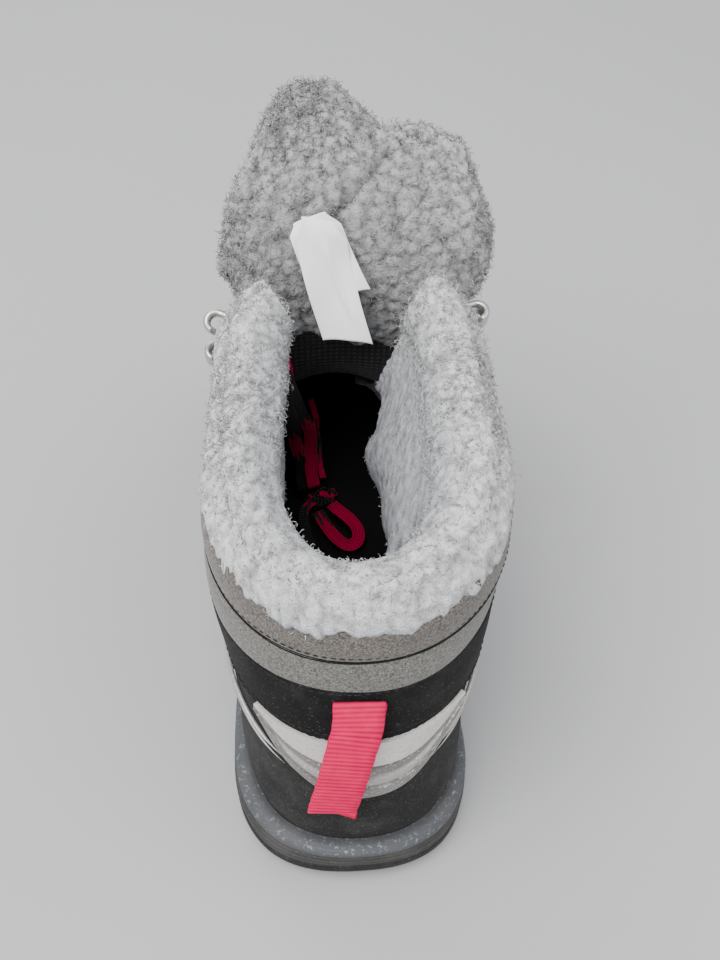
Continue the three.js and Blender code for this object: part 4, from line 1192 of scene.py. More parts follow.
def stitches(name, at, turn, lift, pitch, thickness=0.32):
    """Lock stitches along a line of rows and turns, copied from one modelled stitch."""
    line = on_foot(at, turn, lift)
    reach = np.concatenate([[0], np.cumsum(np.linalg.norm(np.diff(line, axis=0), axis=1))])
    stops = np.arange(pitch, reach[-1] - pitch, pitch)
    centre = np.stack([np.interp(stops, reach, line[:, k]) for k in range(3)], axis=1)
    rows, turns = np.interp(stops, reach, at), np.interp(stops, reach, turn)
    normal = foot_normal(rows, turns)
    onward = unit(np.gradient(centre, axis=0))
    across = np.cross(normal, onward)
    clear_selection()
    bpy.ops.mesh.primitive_uv_sphere_add(segments=6, ring_count=5, radius=MM)
    stitch = bpy.context.active_object
    edit(stitch, lambda: bpy.ops.transform.resize(value=(pitch * 0.36, thickness, thickness * 0.55)))
    places = [placed(c, o, a, n) for c, o, a, n in zip(centre, onward, across, normal)]
    return copies(name, template_of(stitch), places, finish_of("dark_thread"))


def line_turns(u, row):
    return around(u, np.full_like(u, row), 0.03)


class BOOT_OT_upper(bpy.types.Operator):
    """Makes the hollow upper with its suede bands, black band and stitches"""
    bl_idname = "boot.upper"
    bl_label = "Upper"

    def execute(self, context):
        pitch = context.scene.boot_sizes.stitch / MM
        shell = grid_piece("upper_shell", 260, sum(SHELL_SPANS), place_shell)
        weld(shell)
        store(shell.data, "lip", np.zeros(len(shell.data.vertices)))
        paint(shell, "nubuck_heel", "black_pile")
        inner = lambda c: np.where(self.is_inside(c), 1, 0)
        paint_where(shell, inner)
        ride(shell, "upper_suede", "upper")

        def band(low, high, margin):
            def region(u, v):
                at = low + (high - low) * v
                return at, around(u, at, margin)
            return region

        ripple = lambda u, v: 0.35 * np.sin(31 * u) * np.sin(math.pi * v)
        crown = lambda u, v: np.sqrt(np.clip(4 * v * (1 - v), 0, 1))
        lower = strip_on_foot("suede_lower", 240, 14, band(7.85, 9.05, 0.02),
                              lambda u, v: 0.4 + 0.7 * crown(u, v) + ripple(u, v), 1.2, "suede_green")
        upper = strip_on_foot("suede_upper", 240, 14, band(8.97, 10.15, 0.01),
                              lambda u, v: 0.6 + 1.0 * crown(u, v) + ripple(u, v), 1.3, "suede_warm")
        black = strip_on_foot(
            "black_band", 240, 20, band(5.95, 8.08, 0.04),
            lambda u, v: 0.8 + 0.5 * crown(u, v) + 0.1 * np.sin(47 * u + 3 * v), 1.4, "nubuck_band")
        seam = strip_on_foot("suede_seam", 240, 2, band(8.92, 8.985, 0.02),
                             lambda u, v: 0.95 + ripple(u, v), 0.8, "nubuck_band", 0.1)
        for piece in (lower, upper, black, seam):
            ride(piece, "upper_suede")
        u = np.linspace(0.02, 0.98, 600)
        rows_of = ((7.97, 1.1, pitch), (6.12, 1.15, pitch), (6.32, 1.3, pitch), (9.12, 1.25, pitch * 0.9))
        sewn = [
            stitches(f"seam_{k}", np.full_like(u, row), line_turns(u, row), np.full_like(u, lift), step)
            for k, (row, lift, step) in enumerate(rows_of)
        ]
        ride(join("band_stitches", sewn), "upper_suede")
        return {"FINISHED"}

    def is_inside(self, centres):
        """Which faces lie inside the foot's form."""
        deep = np.zeros(len(centres))
        at = np.repeat(np.arange(0, 11, 0.5), 61)
        turn = np.tile(np.linspace(-3, 3, 61), 22)
        form, normal = foot_point(at, turn), foot_normal(at, turn)
        for start in range(0, len(centres), 4000):
            part = centres[start:start + 4000]
            near = np.argmin(((part[:, None] - form[None]) ** 2).sum(axis=2), axis=1)
            deep[start:start + 4000] = ((part - form[near]) * normal[near]).sum(axis=1)
        return deep < -1.6


class BOOT_OT_front(bpy.types.Operator):
    """Adds the eyestays, the vamp's seams, the toe cap and the side panels"""
    bl_idname = "boot.front"
    bl_label = "Vamp and toe cap"

    def execute(self, context):
        pitch = context.scene.boot_sizes.stitch / MM
        sewn = []
        for side, letter in ((1, "outer"), (-1, "inner")):
            def stay(u, v, side=side):
                at = 4.05 + 3.9 * v
                width = 0.20 + 0.10 * v
                return at, side * (throat_turn(at, side) + 0.012 + width * u)
            piece = strip_on_foot(f"eyestay_{letter}", 14, 60, stay, lambda u, v: 1.5 + 0 * u, 1.4, "nubuck_band")
            ride(piece, "upper_suede")
            at = np.linspace(4.2, 7.8, 300)
            for inset in (0.03, 0.19):
                turn = side * (throat_turn(at, side) + inset + (0.08 * (at - 4.05) / 3.9 if inset > 0.1 else 0))
                sewn.append(stitches(f"stay_seam_{letter}_{inset}", at, turn, np.full_like(at, 1.6), pitch))

            def quarter(u, v, side=side):
                turn = 0.95 + 0.95 * u
                top = np.interp(turn, [0.95, 1.4, 1.9], [4.6, 5.2, 5.1])
                return 1.0 + (top - 1.0) * v, side * turn
            piece = strip_on_foot(f"quarter_{letter}", 80, 40, quarter,
                                  lambda u, v: 0.9 - 1.1 * smooth(u, 0.86, 1.0), 1.0, "nubuck_heel")
            ride(piece, "upper_suede")
            turn = np.linspace(1.0, 1.88, 300)
            top = np.interp(turn, [0.95, 1.4, 1.9], [4.6, 5.2, 5.1])
            for drop in (0.12, 0.3):
                sewn.append(stitches(f"quarter_seam_{letter}_{drop}", top - drop, side * turn,
                                     np.full_like(turn, 1.0), pitch))
            front = np.linspace(1.2, 4.5, 200)
            sewn.append(stitches(f"front_seam_{letter}", front, np.full_like(front, side * 0.985),
                                 np.full_like(front, 1.0), pitch))
        ride(join("front_stitches", sewn), "upper_suede")

        def cap(u, v):
            turn = 0.86 * (2 * u - 1)
            rows = np.linspace(1.0, 4.8, 77)
            unique, back = np.unique(turn, return_inverse=True)
            grid = foot_point(rows[None], unique[:, None])
            limit = 197 - 25 * (grid[..., 0] / 46) ** 2
            past = grid[..., 1] < limit
            index = np.where(past.any(axis=1), past.argmax(axis=1), len(rows) - 1)
            low, high = np.clip(index - 1, 0, 76), index
            lead = np.take_along_axis(grid[..., 1] - limit, low[:, None], 1)[:, 0]
            trail = np.take_along_axis(grid[..., 1] - limit, high[:, None], 1)[:, 0]
            share = np.where(high > low, lead / np.where(np.abs(lead - trail) < 1e-6, 1, lead - trail), 0)
            top = rows[low] + (rows[high] - rows[low]) * np.clip(share, 0, 1)
            return 0.95 + (top[back] - 0.95) * v, turn
        lift = lambda u, v: 2.1 - 0.5 * smooth(v, 0.82, 0.86) + 0.5 * smooth(v, 0.88, 0.92)
        piece = strip_on_foot("toe_cap_rubber", 90, 46, cap, lift, 1.8, "toe_rubber", 0.7)
        store(piece.data, "lip", np.zeros(len(piece.data.vertices)))
        ride(piece, "cap_rubber", "toe_cap")

        def badge(u, v):
            a, r = 2 * math.pi * u, np.clip(v, 0.02, 1)
            y = 46 + 17 * r * np.cos(a)
            z = 119 + 12 * r * np.sin(a) + 2 * r * np.cos(a)
            at, turn = find_on_foot(np.stack([y, z], axis=1), [1, 2], 8.6, 1.8)
            return at, turn
        piece = strip_on_foot("side_badge_plate", 48, 12, badge,
                              lambda u, v: 2.9 - 0.9 * smooth(v, 0.78, 0.7) + 0.4 * smooth(v, 0.6, 0.2),
                              2.4, "toe_rubber", 0.6)
        weld(piece)
        store(piece.data, "lip", np.zeros(len(piece.data.vertices)))
        ride(piece, "cap_rubber", "side_badge")
        return {"FINISHED"}


def counter_edges(w):
    lower = 50.5 + 28 * np.abs(w) ** 2.2
    upper = 76.5 + 3 * w * w
    return lower, np.maximum(upper, lower + 0.8)


class BOOT_OT_counter(bpy.types.Operator):
    """Makes the moulded silver heel counter with its nested ridges, and the silver piping"""
    bl_idname = "boot.counter"
    bl_label = "Heel counter"

    def execute(self, context):
        columns, rows = 150, 64

        def region(u, v):
            w = (2 * u - 1) * 0.995
            lower, upper = counter_edges(w)
            target = np.stack([1 + COUNTER_REACH * w, lower + (upper + 1.5 - lower) * v], axis=1)
            start = np.where(w > 0, 3 - 0.9 * np.abs(w), -3 + 0.9 * np.abs(w))
            start = np.where(np.abs(w) < 0.02, 2.97, start)
            return find_on_foot(target, [0, 2], np.full_like(u, 5.0), start)

        def lift(u, v):
            w = np.abs(2 * u - 1)
            q = v + 0.10 * w * w
            step = (
                1.9 + 0.7 * smooth(q, 0.0, 0.05) - 1.0 * smooth(q, 0.19, 0.22) + 1.3 * smooth(q, 0.25, 0.29)
                - 0.9 * smooth(q, 0.38, 0.42) - 0.5 * smooth(q, 0.52, 0.55) + 1.1 * smooth(q, 0.57, 0.62)
            )
            return step + 0.15 * np.sin(20 * u)
        piece = strip_on_foot("counter_silver", columns, rows, region, lift, 1.6, "silver_plastic", 0.4)
        mesh = piece.data
        p = read_points(mesh)
        w = np.clip((p[:, 0] - 1) / COUNTER_REACH, -0.995, 0.995)
        lower, upper = counter_edges(w)
        q = np.clip((p[:, 2] - lower) / (upper + 1.5 - lower), 0, 1) + 0.10 * w * w
        # Painted shade in the recessed grooves at the ridges' steps, stored for the silver finish.
        dark = np.exp(-((q - 0.235) / 0.018) ** 2) * 0.5 + np.exp(-((q - 0.555) / 0.016) ** 2)
        store(mesh, "groove_shade", np.clip(dark, 0, 1) * (np.abs(w) < 0.93))
        store(mesh, "plate", smooth(q, 0.57, 0.64) * 0.9 + 0.35 * (smooth(q, 0.26, 0.3) - smooth(q, 0.38, 0.44)))
        ride(piece, "counter_silver", "heel_counter")
        pipes = []
        for side in (1, -1):
            for low, thick in ((0.0, 0.75), (0.28, 0.45)):
                turn = np.linspace(2.62, 1.15, 60)
                at = np.interp(turn, [1.15, 1.5, 1.9, 2.3, 2.62], [6.05, 5.95, 5.75, 5.35, 4.75]) - low
                line = on_foot(at, side * turn, np.full_like(turn, 1.3))
                section = [(thick * math.cos(a), thick * math.sin(a)) for a in np.linspace(0, 2 * math.pi, 9)[:-1]]
                taper = np.clip(np.minimum(np.arange(60), 59 - np.arange(60)) / 6.0, 0.15, 1)
                section = np.asarray(section)[None] * taper[:, None, None]
                pipe = sweep(f"pipe_{side}_{low}", line, foot_normal(at, side * turn), section)
                pipes.append(paint(pipe, "silver_plastic"))
        piping = join("silver_piping", pipes)
        count = len(piping.data.vertices)
        store(piping.data, "groove_shade", np.zeros(count))
        store(piping.data, "plate", np.full(count, 0.4))
        ride(piping, "counter_silver")
        return {"FINISHED"}


# ------------------------------------------------------------------ sole
class BOOT_OT_sole(bpy.types.Operator):
    """Makes the cupped sole, the tread plate, its lugs and the insole"""
    bl_idname = "boot.sole"
    bl_label = "Sole"

    PROFILE = (
        # share of the height, how far the wall stands out
        (0.0, -1.2), (0.03, 0.0), (0.16, 0.5), (0.19, -0.9), (0.22, 0.55), (0.36, 0.75), (0.39, -0.7), (0.42, 0.75),
        (0.55, 0.8), (0.58, -0.6), (0.61, 0.9), (0.80, 1.0), (0.92, 0.2), (0.985, -1.6), (1.0, -3.0), (0.97, -4.6),
        (0.80, -5.6), (0.2, -6.0), (0.0, -5.0),
    )

    def execute(self, context):
        profile = np.array(self.PROFILE)
        top_of_plate = lambda y: ground(y) + LUG_DEPTH + TREAD_PLATE

        def cup(u, v):
            turn = 6 * u
            k = v * (len(profile) * 4 - 4) / 4
            h = np.interp(k, np.arange(len(profile)), profile[:, 0])
            out = np.interp(k, np.arange(len(profile)), profile[:, 1])
            x, y = sole_place(np.clip(h, 0, 1), turn)
            ahead, behind = sole_place(np.clip(h, 0, 1), turn + 0.01), sole_place(np.clip(h, 0, 1), turn - 0.01)
            along = unit(np.stack([ahead[0] - behind[0], ahead[1] - behind[1]], axis=1))
            normal = np.stack([-along[:, 1], along[:, 0]], axis=1)
            flip = np.sign((normal * np.stack([x, y - np.clip(y, 20, 150)], axis=1)).sum(axis=1))
            normal = normal * flip[:, None]
            bottom = top_of_plate(y)
            z = bottom + (lip(y) - bottom) * h
            points = np.stack([x + normal[:, 0] * out, y + normal[:, 1] * out, z], axis=1)
            facing = np.stack([normal[:, 0], normal[:, 1], np.zeros_like(x)], axis=1)
            facing = facing * np.where(k < 13, 1.0, -1.0)[:, None]
            return points, facing
        rim = grid_piece("sole_cup", 280, len(profile) * 4 - 4, cup)
        weld(rim)
        p = read_points(rim.data)
        share = (p[:, 2] - top_of_plate(p[:, 1])) / (lip(p[:, 1]) - top_of_plate(p[:, 1]))
        # The lip attribute marks the upper band of the wall that the rubber finish paints with a pale bluish highlight.
        store(rim.data, "lip", 0.85 * smooth(share, 0.6, 0.72) * (1 - 0.4 * smooth(share, 0.97, 1.0)))
        paint(rim, "smoky_rubber")
        ride(rim, "cup_rubber", "midsole")

        def plate(u, v):
            turn = 6 * u
            k = v * 14
            shrink = np.interp(k, [0, 4, 6, 8, 10, 14], [0, 0.985, 1.0, 1.0, 0.9, 0])
            rise = np.interp(k, [0, 4, 6, 8, 14], [0, 0, 1.5, TREAD_PLATE, TREAD_PLATE])
            x, y = sole_place(0.0, turn)
            spine_x, spine_y = -2.5 * np.ones_like(x), np.clip(y, 10, 190)
            x, y = spine_x + (x - spine_x) * shrink, spine_y + (y - spine_y) * shrink
            z = ground(y) + LUG_DEPTH + rise
            facing = np.stack([0 * x, 0 * x, np.where(k < 5, -1.0, np.where(k > 8, 1.0, 0.0))], axis=1)
            return np.stack([x, y, z], axis=1), facing
        base = grid_piece("tread_plate", 200, 14, plate)
        weld(base)
        clear_selection()
        bpy.ops.mesh.primitive_cube_add(size=MM)
        block = bpy.context.active_object
        modify(block, "BEVEL", width=0.07 * MM, segments=2)
        points, faces = template_of(block)
        made = []
        for y, deep, blocks, half in LUG_ROWS:
            shift = -5 * (y + 39) / 280
            wide = (2 * half + 5) / blocks
            for i in range(blocks):
                x = shift - half - 2.5 + wide * (i + 0.5)
                body = points * np.array([wide - 5, deep, 1])
                chevron = np.abs(body[:, 0]) * 0.10 * np.sign(y - 80)
                taper = np.where(points[:, 2] > 0, 1.12, 1.0)
                px, py = x + body[:, 0] * taper, y + body[:, 1] * taper - chevron
                pz = np.where(points[:, 2] > 0, ground(py) + LUG_DEPTH + 1, ground(py))
                soft = 0.6 * (0.5 - np.abs(points[:, 2])) * np.where(points[:, 2] > 0, -1, 1) * 8
                made.append(np.stack([px, py, pz + soft * (np.abs(points[:, 2]) < 0.5)], axis=1))
        count = len(points)
        lugs = mesh_piece("tread_lugs", np.vstack(made),
                          [tuple(k * count + i for i in face) for k in range(len(made)) for face in faces])
        for piece in (base, lugs):
            store(piece.data, "lip", np.zeros(len(piece.data.vertices)))
            paint(piece, "lug_rubber")
        make_active(lugs)
        bpy.ops.object.shade_smooth_by_angle(angle=math.radians(35))
        ride(base, "tread_rubber", "outsole")
        ride(lugs, "tread_rubber")

        def insole(u, v):
            turn = 6 * u
            full = foot_point(np.full_like(turn, 0.25), turn) - foot_normal(0.25, turn) * wall(0.25, turn)[:, None]
            spine = np.stack([full[:, 0] * 0 - 2, np.clip(full[:, 1], 20, 170), full[:, 2]], axis=1)
            shrink = np.interp(v, [0, 0.45, 0.5, 0.55, 1], [0, 0.97, 0.99, 0.97, 0])[:, None]
            points = spine + (full - spine) * shrink
            seat = blend_table(SECTIONS, SECTION_COLUMNS, np.zeros_like(turn))
            t = (points[:, 1] - seat["yb"]) / (seat["yf"] - seat["yb"])
            low = seat["zb"] + (seat["zf"] - seat["zb"]) * t - seat["sag"] * np.sin(math.pi * t)
            cupped = 2.2 * np.clip(shrink[:, 0], 0, 1) ** 6
            points[:, 2] = low + np.where(v > 0.5, 0.3, 4.0 + cupped)
            return points, np.stack([0 * u, 0 * u, np.where(v > 0.5, -1.0, 1.0)], axis=1)
        sole = grid_piece("insole_board", 160, 24, insole)
        weld(sole)
        paint(sole, "insole_board")
        ride(sole, "insole_felt", "insole")
        return {"FINISHED"}


# ------------------------------------------------------------------ webbing, label, laces and hooks
class BOOT_OT_pull_loop(bpy.types.Operator):
    """Sews the ribbed webbing loop to the heel"""
    bl_idname = "boot.pull_loop"
    bl_label = "Pull loop"

    def execute(self, context):
        top = PULL_LOOP[0][2]
        leaning = [(x - 0.10 * (top - z), y, z) for x, y, z in PULL_LOOP]
        front = [(x, y - 1.2, z) for x, y, z in leaning]
        back = [(x + 0.4, y + 0.9, z) for x, y, z in leaning[::-1]]
        front[0] = (front[0][0], front[0][1] + 1.4, front[0][2] + 2.0)
        turn = [(leaning[-1][0] + 0.2, leaning[-1][1], leaning[-1][2] - 1.2)]
        line, length = curve_through(front + turn + back, 0.36)
        reach = np.linspace(0, length, len(line))
        rib = np.abs(np.sin(math.pi * reach / 1.75)) ** 0.7
        half, thick = context.scene.boot_sizes.loop_width / MM / 2, 0.42
        wave = 0.25 * np.sin(reach * 0.9) * 0.3
        across = np.array([-1, -0.97, -0.6, -0.2, 0.2, 0.6, 0.97, 1, 0.97, 0.6, 0.2, -0.2, -0.6, -0.97])
        face = np.array([0, 1, 1, 1, 1, 1, 1, 0, -1, -1, -1, -1, -1, -1])
        section = np.stack([
            across[None] * (half + wave[:, None]),
            face[None] * (thick * 0.62 + 0.33 * rib[:, None]),
        ], axis=2)
        onward = unit(np.gradient(line, axis=0))
        crosswise = unit(np.array([[1.0, 0.0, -0.16]]))
        looks = unit(np.cross(onward, np.broadcast_to(crosswise, onward.shape)))
        piece = sweep("pull_loop_webbing", line, looks, section)
        # The rib attribute, low between the ribs, paints shade there in the webbing finish.
        store(piece.data, "rib", np.repeat(rib, 14) * 0.85 + 0.15)
        paint(piece, "pink_webbing")
        ride(piece, "webbing_pink", "pull_loop")
        return {"FINISHED"}


class BOOT_OT_label(bpy.types.Operator):
    """Hangs the two leaves of the blank sewn-in label on the tongue"""
    bl_idname = "boot.label"
    bl_label = "Label"

    def execute(self, context):
        hang = [(-5, 100.5, 173), (-4, 98.6, 169), (-3, 96.8, 160), (0, 92.5, 147), (4, 88.5, 133)]
        route, length = curve_through(hang, 1.0)
        for name, tilt, short, back in (("label_front", 0.0, 1.0, 0.0), ("label_back", 0.33, 0.62, 1.3)):
            def place(u, v, tilt=tilt, short=short, back=back):
                k = v * short * (len(route) - 1)
                middle = np.stack([np.interp(k, np.arange(len(route)), route[:, i]) for i in range(3)], axis=1)
                w = (2 * u - 1) * 8.5
                narrow = 0.62 + 0.38 * smooth(v, 0, 0.18)
                crease = 1.3 * np.exp(-((w - 1.0 - 5 * (v - 0.2)) / 1.3) ** 2)
                crease = crease * smooth(v, 0.12, 0.3) * smooth(v, 0.9, 0.6)
                curl = 1.6 * np.abs(w / 8.5) ** 3 * (0.4 + 0.6 * v) + 0.7 * np.sin(7 * v + 0.2 * w)
                skew = tilt * (v * short * length)
                x = middle[:, 0] + w * narrow + skew * 0.75 - 2.2 * back
                y = middle[:, 1] - curl - crease + back
                z = middle[:, 2] + 0.28 * w * (0 if back == 0 else 1.4) - 0.10 * w
                return np.stack([x, y, z], axis=1), np.tile([0.0, -1.0, 0.3], (len(u), 1))
            leaf = grid_piece(name, 30, 60, place, (17, length * short))
            modify(leaf, "SOLIDIFY", thickness=0.25 * MM, offset=0)
            paint(leaf, "label_tape")
            ride(leaf, "label_white", "care_label")
        return {"FINISHED"}


def lace_section(count, width, thick):
    """The flat lace's outline, with five ribs on each face, and how high each point stands on its rib."""
    w = np.linspace(-1, 1, 21)
    rib = np.abs(np.sin(math.pi * (w + 1) * 2.5))
    face = thick * (0.62 + 0.38 * rib) * np.sqrt(np.clip(1 - np.abs(w) ** 5, 0.05, 1))
    top = np.stack([w * width / 2, face], axis=1)
    under = np.stack([w[::-1][1:-1] * width / 2, -face[::-1][1:-1]], axis=1)
    return np.vstack([top, under]), np.concatenate([rib, rib[::-1][1:-1]])


def ribbon(name, line, looks, width, thick=0.85, dye=None):
    """A flat ribbed lace along a line. dye(reach, rib number) is 1 where it is pink."""
    section, rib = lace_section(len(line), width, thick)
    obj = sweep(name, line, looks, section)
    n = len(section)
    reach = np.concatenate([[0], np.cumsum(np.linalg.norm(np.diff(line, axis=0), axis=1))])
    across = section[:, 0] / width + 0.5
    number = np.clip(np.floor(across * 5), 0, 4)
    store(obj.data, "rib", np.tile(rib, len(line)))
    pattern = dye(np.repeat(reach, n), np.tile(number, len(line)))
    store(obj.data, "dye", pattern)
    paint(obj, "lace_weave")
    return obj


def dyed(spans):
    """Pink between each pair of distances; the ribs change colour one after another."""
    def dye(reach, number):
        shift = reach + 2.2 * ((number * 2) % 5 - 2)
        return np.clip(sum(smooth(shift, a - 0.5, a + 0.5) * smooth(shift, b + 0.5, b - 0.5) for a, b in spans), 0, 1)
    return dye


class BOOT_OT_cords(bpy.types.Operator):
    """Lays the free lace: two runs into the boot, the knot, the bow loop and two tails"""
    bl_idname = "boot.cords"
    bl_label = "Free lace"

    def execute(self, context):
        width = context.scene.boot_sizes.lace_width / MM
        plan = {
            # looks along the line, dyed spans, width, far end
            "lace_run_a": ([(-0.4, -0.6, 0.8), (-0.8, 0.2, 0.7), (0.3, -0.6, 0.8), (0.2, -0.9, 0.5), (0.2, -0.9, 0.4)],
                           [(-5, 62), (104, 160)], width, "object"),
            "lace_run_b": ([(0, -0.3, 1), (-0.2, -0.3, 1), (-0.8, 0.1, 0.8), (0.2, -0.8, 0.8), (0.2, -0.9, 0.4),
                            (0.2, -0.9, 0.4)],
                           [(-5, 30), (62, 78), (150, 170)], width, "object"),
            "lace_tail_a": ([(0.2, -1, 0.4)], [(-5, 13), (27, 60)], 2.6, "bare"),
            "lace_bow": ([(0.1, -0.4, 1)], [(5, 200)], width, "object"),
            "lace_tail_b": ([(0.1, -0.3, 1)], [(-5, 14)], 4.2, "bare"),
        }
        for name, (looks, spans, wide, far_end) in plan.items():
            line, length = curve_through(LACE_ROUTES[name], 1.3)
            looks = looks * 2 if len(looks) == 1 else looks
            piece = ribbon(f"{name}_cord", line, looks, wide, 0.8, dyed(spans))
            ride(piece, "lace_pink_grey", name)
        coils = []
        centre = np.array(KNOT, float)
        for k, (tilt, spin, reach, pink) in enumerate((
            (0.0, 0.2, 5.2, 0), (0.9, 1.3, 4.7, 0), (1.9, 2.4, 5.0, 1), (2.6, 0.9, 4.3, 0),
        )):
            a = np.linspace(0, 2 * math.pi * 0.86, 30)
            ring = np.stack([reach * np.cos(a) * 1.15, reach * 0.62 * np.sin(a), 1.2 * np.sin(2 * a)], axis=1)
            turn_a = np.array(Matrix.Rotation(tilt, 3, "X") @ Matrix.Rotation(spin, 3, "Z"))
            line = ring @ turn_a.T * np.array([1, 0.85, 0.62]) + centre
            coils.append(ribbon(f"coil_{k}", line, unit(line - centre), 3.2, 0.65, lambda r, n, p=pink: 0 * r + p))
        knot = join("lace_knot_turns", coils)
        ride(knot, "lace_pink_grey", "lace_knot")
        return {"FINISHED"}


def above(x, y):
    """Row, turn, point and normal where the upper stands above a place of the ground plan."""
    guess = throat_turn(5.5, 1 if x > 0 else -1) + 0.15
    at, turn = find_on_foot([(x, y)], [0, 1], float(np.interp(y, [130, 180], [6.5, 4.4])), math.copysign(guess, x))
    return foot_point(at, turn)[0], foot_normal(at, turn)[0]


class BOOT_OT_laces(bpy.types.Operator):
    """Laces the throat: a bar at each pair of loops, and crossings between them"""
    bl_idname = "boot.laces"
    bl_label = "Lacing"

    def execute(self, context):
        width = context.scene.boot_sizes.lace_width / MM
        bars, strips = [], []
        for k, (x, y) in enumerate(LACE_LOOPS):
            edge = float(np.interp(y, THROAT_WIDTH[:, 0], THROAT_WIDTH[:, 1])) + 0.6
            stops = ((-1, x + 3), (-1, x), (-1, edge), (1, edge), (1, x), (1, x + 3))
            ends = [above(side * px, y) for side, px in stops]
            stand = [p + n * LACE_LIFT for p, n in ends]
            inner, outer = stand[2], stand[3]
            hump = [inner + (outer - inner) * w + np.array([0, 0, 4 * LACE_HUMP * w * (1 - w)])
                    for w in (0.25, 0.5, 0.75)]
            line, _ = curve_through(stand[:3] + hump + stand[3:], 1.3)
            looks = [ends[0][1], ends[2][1], ends[3][1], ends[5][1]]
            strips.append(ribbon(f"bar_{k}", line, looks, width, 0.8, dyed([(-5, 16), (34, 55)])))
            bars.append((inner, outer))
        for k in range(len(bars) - 1):
            for side in (0, 1):
                low, high = bars[k], bars[k + 1]
                a, b = (low[0], high[1]) if side else (low[1], high[0])
                share = np.linspace(0.12, 0.88, 5)[:, None]
                points = a + (b - a) * share
                arch = np.sin(math.pi * share[:, 0])
                points[:, 2] += 2.0 * arch + (1.3 if side else 0) * arch
                line, _ = curve_through(points, 1.3)
                spans = [(10, 26)] if side else [(-5, 12)]
                strips.append(ribbon(f"cross_{k}_{side}", line, [(0, 0.45, 1)] * 2, width, 0.8, dyed(spans)))
        ride(join("lacing", strips), "lace_pink_grey", "laces")
        return {"FINISHED"}


def stand_frame(point, normal, side):
    """The place of a fitting: z out of the leather, y away from the throat."""
    away = np.array([side, 0, 0], float)
    away = unit((away - normal * away.dot(normal))[None])[0]
    return placed(point + normal * HARDWARE_LIFT, np.cross(away, normal), away, normal)


class BOOT_OT_hardware(bpy.types.Operator):
    """Rivets on the lace loops and the open hooks"""
    bl_idname = "boot.hardware"
    bl_label = "Loops and hooks"

    def base_plate(self, name, long, wide):
        clear_selection()
        bpy.ops.mesh.primitive_cylinder_add(vertices=28, radius=0.5 * MM, depth=MM)
        plate = bpy.context.active_object
        edit(plate, lambda: bpy.ops.transform.resize(value=(long, wide, 1.5)))
        edit(plate, lambda: bpy.ops.transform.translate(value=(0, 0, 0.75 * MM)))
        modify(plate, "BEVEL", width=0.4 * MM, segments=2, limit_method="ANGLE")
        rivets = [plate]
        for x in ((-long * 0.32, long * 0.32) if long > 12 else (0,)):
            bpy.ops.mesh.primitive_uv_sphere_add(
                segments=14, ring_count=8, radius=1.7 * MM, location=(x * MM, 0, 1.5 * MM))
            rivet = bpy.context.active_object
            edit(rivet, lambda: bpy.ops.transform.resize(value=(1, 1, 0.5)))
            make_active(rivet)
            bpy.ops.object.transform_apply(location=True, rotation=True, scale=True)
            rivets.append(rivet)
        make_active(plate)
        bpy.ops.object.transform_apply(location=True, rotation=True, scale=True)
        return join(name, rivets)

    def execute(self, context):
        circle = lambda r, n=12: [(r * math.cos(a), r * math.sin(a)) for a in np.linspace(0, 2 * math.pi, n + 1)[:-1]]
        wire_line, _ = curve_through([(-7.2, 0, 0.6), (-7.4, 0.1, 3.4), (-6.2, 0.3, 6.3), (-3.2, 0.4, 7.4),
                                      (0, 0.4, 7.6),
                                      (3.2, 0.4, 7.4), (6.2, 0.3, 6.3), (7.4, 0.1, 3.4), (7.2, 0, 0.6)], 0.8)
        wire = sweep("wire", wire_line, np.tile([0.0, 1.0, 0.0], (len(wire_line), 1)), circle(1.3))
        loop = template_of(join("loop", [self.base_plate("loop_plate", 18, 6.4), wire]))
        a = np.linspace(math.pi, -0.25, 16)
        arc = [(0, 3.15 * math.cos(t), 3.9 + 3.15 * math.sin(t)) for t in a]
        hook_line, _ = curve_through([(0, -3.15, 0.7), (0, -3.15, 2.4)] + arc, 0.6)
        width = np.interp(np.linspace(0, 1, len(hook_line)), [0, 0.25, 0.7, 0.92, 1], [3.6, 3.3, 3.7, 3.6, 2.2])
        round_box = np.array([(math.copysign(abs(math.cos(t)) ** 0.5, math.cos(t)),
                               math.copysign(abs(math.sin(t)) ** 0.6, math.sin(t)))
                              for t in np.linspace(0, 2 * math.pi, 17)[:-1]])
        section = np.stack([round_box[None, :, 0] * width[:, None],
                            np.broadcast_to(round_box[None, :, 1] * 1.15, (len(width), 16))], axis=2)
        looks = unit(hook_line - np.array([0, 0, 3.9]))
        curl = sweep("curl", hook_line, looks, section)
        hook = template_of(join("hook", [self.base_plate("hook_plate", 9.5, 12), curl]))
        loop_places, hook_places, loop_nodes, hook_nodes = [], [], [], []
        for side, letter in ((-1, "inner"), (1, "outer")):
            for k, (x, y) in enumerate(LACE_LOOPS):
                loop_places.append(stand_frame(*above(side * x, y), side))
                loop_nodes.append(f"lace_loop_{letter}_{k + 1}")
            for k, (at, turn) in enumerate(HOOKS):
                hook_places.append(stand_frame(foot_point(at, side * turn), foot_normal(at, side * turn), side))
                hook_nodes.append(f"hook_{letter}_{k + 1}")
        ride(copies("lace_loops", loop, loop_places, finish_of("cast_metal")), "hook_metal", *loop_nodes)
        ride(copies("open_hooks", hook, hook_places, finish_of("cast_metal")), "hook_metal", *hook_nodes)
        return {"FINISHED"}


